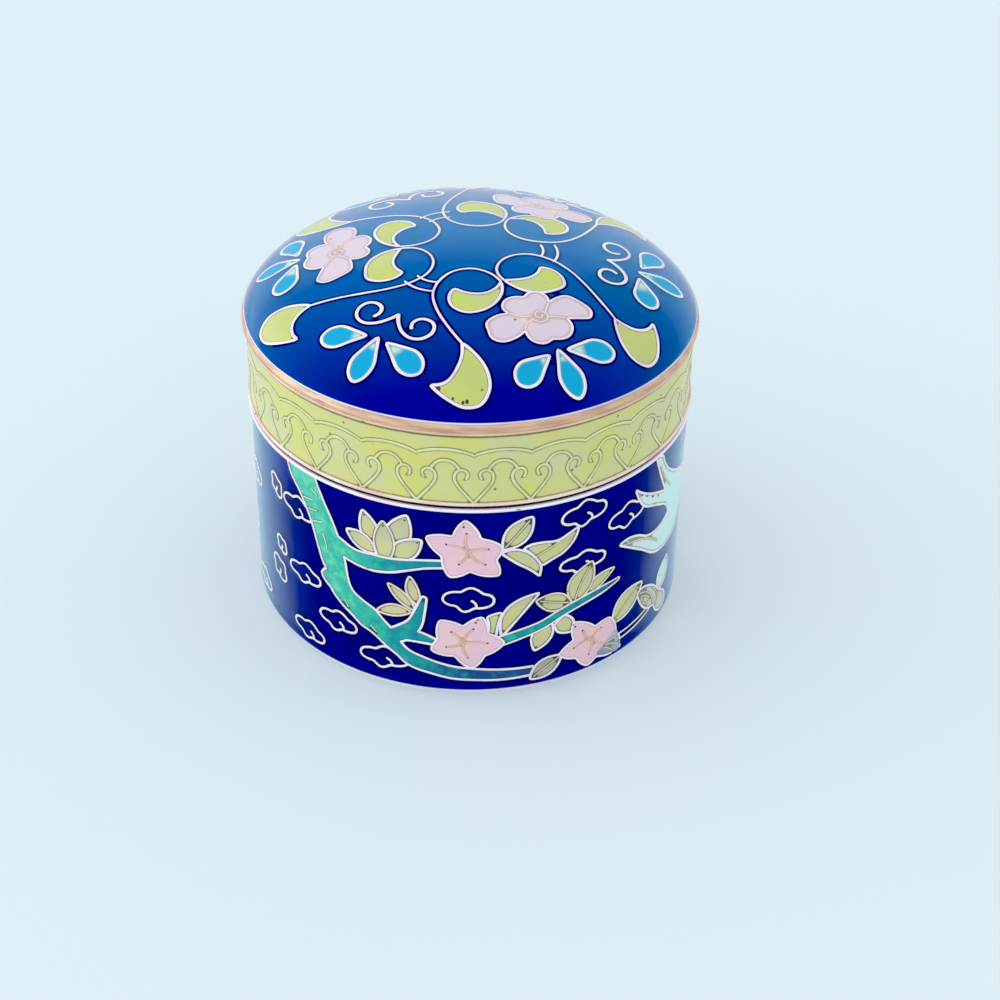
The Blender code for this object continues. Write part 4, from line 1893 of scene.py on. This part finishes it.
class Palette(dict[Finish, bpy.types.Material]):
    """The box's materials, made when first asked for."""

    def __init__(self) -> None:
        """Builds the shared effects."""
        super().__init__()
        self.groups = Groups()

    def __missing__(self, finish: Finish) -> bpy.types.Material:
        """Makes the material of a finish.

        Args:
            finish: The finish.

        Returns:
            Its material.
        """
        look = FINISHES[finish]
        self[finish] = dressed(finish.value, lambda graph: look.dress(graph, self.groups))
        self[finish].diffuse_color = (*look.body, 1.0)
        return self[finish]


# ---- sub-assemblies


@dataclass(frozen=True)
class Extent:
    """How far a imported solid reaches, in millimetres."""

    radius: float
    low: float
    high: float

    @classmethod
    def of(cls, node: str) -> "Extent":
        """Measures a node."""
        low, high = (Vector(corner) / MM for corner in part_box(node))
        return cls(high.x, low.z, high.z)


def settle(piece: Piece, slot: str, *nodes: str) -> None:
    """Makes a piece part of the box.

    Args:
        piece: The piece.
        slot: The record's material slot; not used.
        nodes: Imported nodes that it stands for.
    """
    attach(piece, "root")
    if nodes:
        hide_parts(*nodes)
    LOG.info("%s: %d faces", piece.name, len(piece.data.polygons))


@dataclass
class Enamelled(ABC):
    """An enamelled wall of the box, with its wires."""

    palette: Palette
    thickness: float = 1.9

    @abstractmethod
    def build(self) -> None:
        """Makes the wall and its wires."""

    def _finish(self, name: str, slot: str, node: str, work: Enamelling, sides: Sequence[Side]) -> None:
        """Makes the wall of its glass and its plain sides, then the wires.

        Args:
            name: The name that both pieces start with.
            slot: The glass's material slot.
            node: The solid that it stands for.
            work: Its drawn glass and wires.
            sides: Its plain sides.
        """
        shell, wires = Shell(), Shell()
        work.glass(shell)
        for profile, finish, distance in sides:
            places, faces = spun(profile, closed=False, seam=work.wall.seam)
            shell.add(places, faces, finish, distance)
        settle(shell.to_object(f"{name}_enamel", self.palette), slot, node)
        work.wires(wires)
        settle(wires.to_object(f"{name}_wires", self.palette), "gilt_edge")


@dataclass
class Drum(Enamelled):
    """The box's body: enamelled wall, floor and underside, and its wires."""

    floor: float = 1.8
    corner: float = 0.8
    fillet: float = 1.6
    top: float = 38.4
    free_edge: float = 0.15

    def build(self) -> None:
        """Makes the body and its wires."""
        body = Extent.of("box_body")
        wall = RoundWall(body.radius, body.low + self.corner, self.top)
        drawing = Drawing(wall, Finish.COBALT, Finish.COBALT, Gauge.DRUM, self.free_edge)
        DrumPattern().draw(drawing, self.top - 0.2)
        corner = arc((wall.radius - self.corner, wall.low), self.corner, 0, -90)
        bore, inner = wall.radius - self.thickness, body.low + self.floor
        fillet = arc((bore - self.fillet, inner + self.fillet), self.fillet, 0, -90)
        sides = (
            ([(wall.radius, wall.low), *corner[1:], (0, body.low)], Finish.COBALT, FAR),
            ([(wall.radius, self.top), (bore, self.top), *fillet, (0, inner)], Finish.COUNTER, FAR),
        )
        self._finish("drum", "cobalt_enamel", "box_body", Enamelling(drawing), sides)


@dataclass
class Band(Enamelled):
    """The lid's enamelled band and its wires."""

    low: float = 39.45
    overlap: float = 0.3

    def build(self) -> None:
        """Makes the band and its wires."""
        pattern, band = BandPattern(), Extent.of("lid_band")
        wall = RoundWall(band.radius, self.low, band.high + self.overlap, pattern.seam())
        drawing = Drawing(wall, Finish.YELLOW_GREEN, Finish.YELLOW_GREEN, Gauge.SCROLL)
        pattern.draw(drawing)
        # the band's glass takes painted shade along its upper and lower edges
        work = Enamelling(drawing, shaded_edges=True)
        bore = wall.radius - self.thickness
        profile = [(wall.radius, wall.high), (bore, wall.high), (bore, wall.low), (wall.radius, wall.low)]
        sides = ((profile, Finish.COUNTER, -work.COVERED),)
        self._finish("band", "yellow_green_enamel", "lid_band", work, sides)


@dataclass
class Dome(Enamelled):
    """The lid's enamelled dome and its wires."""

    skirt: float = 0.3
    steps: int = 24

    def build(self) -> None:
        """Makes the dome and its wires."""
        dome = Extent.of("lid_dome")
        wall = DomeWall(dome.radius, dome.low, dome.high)
        drawing = Drawing(wall, Finish.LID_COBALT, Finish.LID_BESIDE, Gauge.DOME)
        LidPattern().draw(drawing)
        hollow = DomeWall(wall.radius - self.thickness, wall.edge, wall.crown - self.thickness)
        inner = [hollow.station(share) for share in np.linspace(1, 0, self.steps + 1)]
        foot = wall.edge - self.skirt
        profile = [(wall.radius, wall.edge), (wall.radius, foot), (hollow.radius, foot), *inner]
        sides = ((profile, Finish.COUNTER, FAR),)
        self._finish("dome", "cobalt_enamel", "lid_dome", Enamelling(drawing), sides)


@dataclass
class Trims:
    """The turned metal pieces: foot, rims, collar and bead."""

    palette: Palette
    bore: float = 35.7  # inner radius of rims and bead
    rounding: float = 0.25
    drum_rim: Pair = (38.05, 38.68)  # lowest and highest level
    lid_rim: Pair = (39.32, 39.9)
    foot_width: float = 2.6
    collar_width: float = 0.9
    # seat: inside it the ring's level and inner faces are painted near-black, painted shade of the gaps
    # between rims
    seat: float = 0.5  # how far inside its outer edge a ring's level faces turn dark
    # lip: the bead's upper lip is painted pale as a painted highlight; its lower lip is painted tan
    lip: float = 0.32  # height of the bead's pale lips

    def build(self) -> None:
        """Makes the five pieces."""
        foot, collar, rim = (Extent.of(node) for node in ("foot_ring", "inner_collar", "body_rim"))
        bottom = Extent.of("box_body").low + 0.1
        for name, node, finish, inner, outer, low, high in (
            ("foot_hoop", "foot_ring", Finish.GILT, foot.radius - self.foot_width, foot.radius, 0, bottom),
            ("drum_rim", "body_rim", Finish.GILT, self.bore, rim.radius, *self.drum_rim),
            ("lid_lower_rim", "lid_rim", Finish.ROSE_GILT, self.bore, rim.radius, *self.lid_rim),
            (
                "fitting_collar", "inner_collar", Finish.GILT,
                collar.radius - self.collar_width, collar.radius, collar.low, collar.high,
            ),
        ):
            self._make(name, self._ring(inner, outer, low, high), finish, node)
        self._make("copper_bead_ring", self._bead(), Finish.COPPER, "shoulder_ring")

    def _ring(self, inner: float, outer: float, low: float, high: float) -> list[Pair]:
        """Profile of a ring with a rounded outer side.

        Args:
            inner: Its inner radius.
            outer: Its outer radius.
            low: Its lowest level.
            high: Its highest level.

        Returns:
            The profile.
        """
        middle, edge = outer - self.rounding, outer - self.seat
        lower = arc((middle, low + self.rounding), self.rounding, -90, 0)
        upper = arc((middle, high - self.rounding), self.rounding, 0, 90)
        return [(inner, low), (edge, low), *lower, *upper, (edge, high), (inner, high)]

    def _bead(self) -> list[Pair]:
        """Profile of the bead: a wide rounded belly between two narrow lips.

        Returns:
            The profile.
        """
        outer, dome = Extent.of("shoulder_ring").radius, Extent.of("lid_dome")
        low, high = Extent.of("lid_band").high + 0.2, dome.low
        lip = arc((outer - 0.55, low + 0.3), 0.3, -90, 40)
        belly = arc((outer - 0.75, (low + high) / 2), 0.75, -62, 62, 12)
        cap = arc((outer - 0.62, high - 0.22), 0.22, -40, 90)
        return [(self.bore, low), *lip, *belly, *cap, (self.bore, high)]

    def _make(self, name: str, profile: Points, finish: Finish, node: str) -> None:
        """Turns one rim or ring and makes it part of the box.

        Args:
            name: Its name.
            profile: Its outline, as radius and level.
            finish: Its polished metal.
            node: The solid that it stands for.
        """
        copper = finish is Finish.COPPER
        edge = max(radius for radius, _ in profile) - self.seat + 0.01
        low, high = (limit(level for _, level in profile) for limit in (min, max))
        finishes = []
        for near, far in zip(profile, [*profile[1:], profile[0]]):
            side = finish
            # level and inner faces take the painted shade of the gaps
            if near[0] < edge and far[0] < edge:
                side = Finish.SEAT
            # painted highlight along the bead's upper lip
            elif copper and min(near[1], far[1]) > high - self.lip:
                side = Finish.LIP
            elif copper and max(near[1], far[1]) < low + 2 * self.lip:
                side = Finish.TAN_WIRE
            finishes.extend([side] * SEGMENTS)
        shell = Shell()
        shell.add(*spun(profile, closed=True), finishes)
        piece = shell.to_object(name, self.palette, sharp=40.0)
        settle(piece, "copper_bead" if copper else "gilt_edge", node)


# ---- stage


@dataclass(frozen=True)
class Studio:
    """Floor, light and camera."""

    focal: float = 72.0
    distance: float = 366.0  # from the camera to its aim
    elevation: float = 35.26
    roll: float = 1.29
    shift_right: float = -5.85  # of the box in the picture, measured at the aim
    shift_up: float = -10.07
    aim_level: float = 1.5
    floor_reach: float = 3.0  # in metres
    sky: Colour = (0.84, 0.945, 1.03)

    def build(self) -> None:
        """Makes the stage."""
        scene = bpy.context.scene
        floor, camera = self._floor(), self._camera()
        for thing in (floor, self._lamp(), camera):
            scene.collection.objects.link(thing)
        self._world()
        scene.camera = camera
        scene.view_settings.view_transform = "Standard"

    def _floor(self) -> Piece:
        """Lays a large plain pale floor.

        Returns:
            The floor.
        """
        mesh = bpy.data.meshes.new("floor")
        reach = self.floor_reach
        corners = [(-reach, -reach, 0), (reach, -reach, 0), (reach, reach, 0), (-reach, reach, 0)]
        mesh.from_pydata(corners, [], [(0, 1, 2, 3)])
        mesh.materials.append(dressed("pale_floor", self._floor_look))
        return bpy.data.objects.new("floor", mesh)

    @staticmethod
    def _floor_look(graph: Graph) -> Node:
        """Builds the floor's nodes.

        Args:
            graph: Its material's graph.

        Returns:
            The shader.
        """
        colour = graph.blend(graph.noise(9.0, 2.0), (0.5, 0.53, 0.52), (0.52, 0.545, 0.535))
        look = {"Base Color": colour, "Roughness": 0.9, "Specular IOR Level": 0.1}
        glow = {"Emission Color": (0.25, 0.29, 0.316, 1.0), "Emission Strength": 1.0}
        return graph.node("ShaderNodeBsdfPrincipled", look | glow)

    def _world(self) -> None:
        """Sets an even pale light from all round, a little stronger from the left."""
        world = bpy.data.worlds.new("studio")
        world.use_nodes = True
        bpy.context.scene.world = world
        graph = Graph(world.node_tree)
        way = graph.node("ShaderNodeTexCoord").outputs["Generated"]
        right = graph.node("ShaderNodeSeparateXYZ", {0: way}).outputs["X"]
        slope, glow = graph.remap(right, -1.0, 1.0, 1.15, 0.95), graph.remap(right, -0.97, -0.55, 1.1, 0.0)
        light = {"Color": (*self.sky, 1.0), "Strength": graph.sum("ADD", slope, glow)}
        backdrop = graph.node("ShaderNodeBackground", light)
        graph.node("ShaderNodeOutputWorld", {"Surface": backdrop.outputs[0]})

    @staticmethod
    def _lamp() -> Piece:
        """Hangs a large soft lamp.

        Returns:
            The lamp.
        """
        lamp = bpy.data.lights.new("soft_box", "AREA")
        lamp.shape, lamp.size, lamp.size_y = "RECTANGLE", 1.6, 1.2
        lamp.energy = 0.5
        holder = bpy.data.objects.new("soft_box", lamp)
        holder.location = (-0.8, -0.3, 1.6)
        holder.rotation_euler = (Vector((0, 0, 0.03)) - holder.location).to_track_quat("-Z", "Y").to_euler()
        return holder

    def _camera(self) -> Piece:
        """Stands the camera in front, looking down, with a slight roll.

        Returns:
            The camera.
        """
        tilt, roll = math.radians(self.elevation), math.radians(self.roll)
        right, up = Vector((1, 0, 0)), Vector((0, math.sin(tilt), math.cos(tilt)))
        forward = Vector((0, math.cos(tilt), -math.sin(tilt)))
        side = math.cos(roll) * right + math.sin(roll) * up
        top = math.cos(roll) * up - math.sin(roll) * right
        aim = Vector((0, 0, self.aim_level))
        stand = aim - self.shift_right * side - self.shift_up * top - self.distance * forward
        camera = bpy.data.objects.new("camera", bpy.data.cameras.new("camera"))
        camera.data.lens, camera.data.sensor_width = self.focal, 36.0
        camera.data.clip_start = 0.01
        turn = Matrix((side, top, -forward)).transposed().to_4x4()
        camera.matrix_world = Matrix.Translation(stand * MM) @ turn
        return camera


def main() -> None:
    """Builds the box's looks piece by piece, then the stage."""
    logging.basicConfig(level=logging.INFO, format="%(name)s %(message)s")
    palette = Palette()
    for part in (Drum, Band, Dome, Trims):
        part(palette).build()
    Studio().build()


if __name__ == "__main__":
    main()
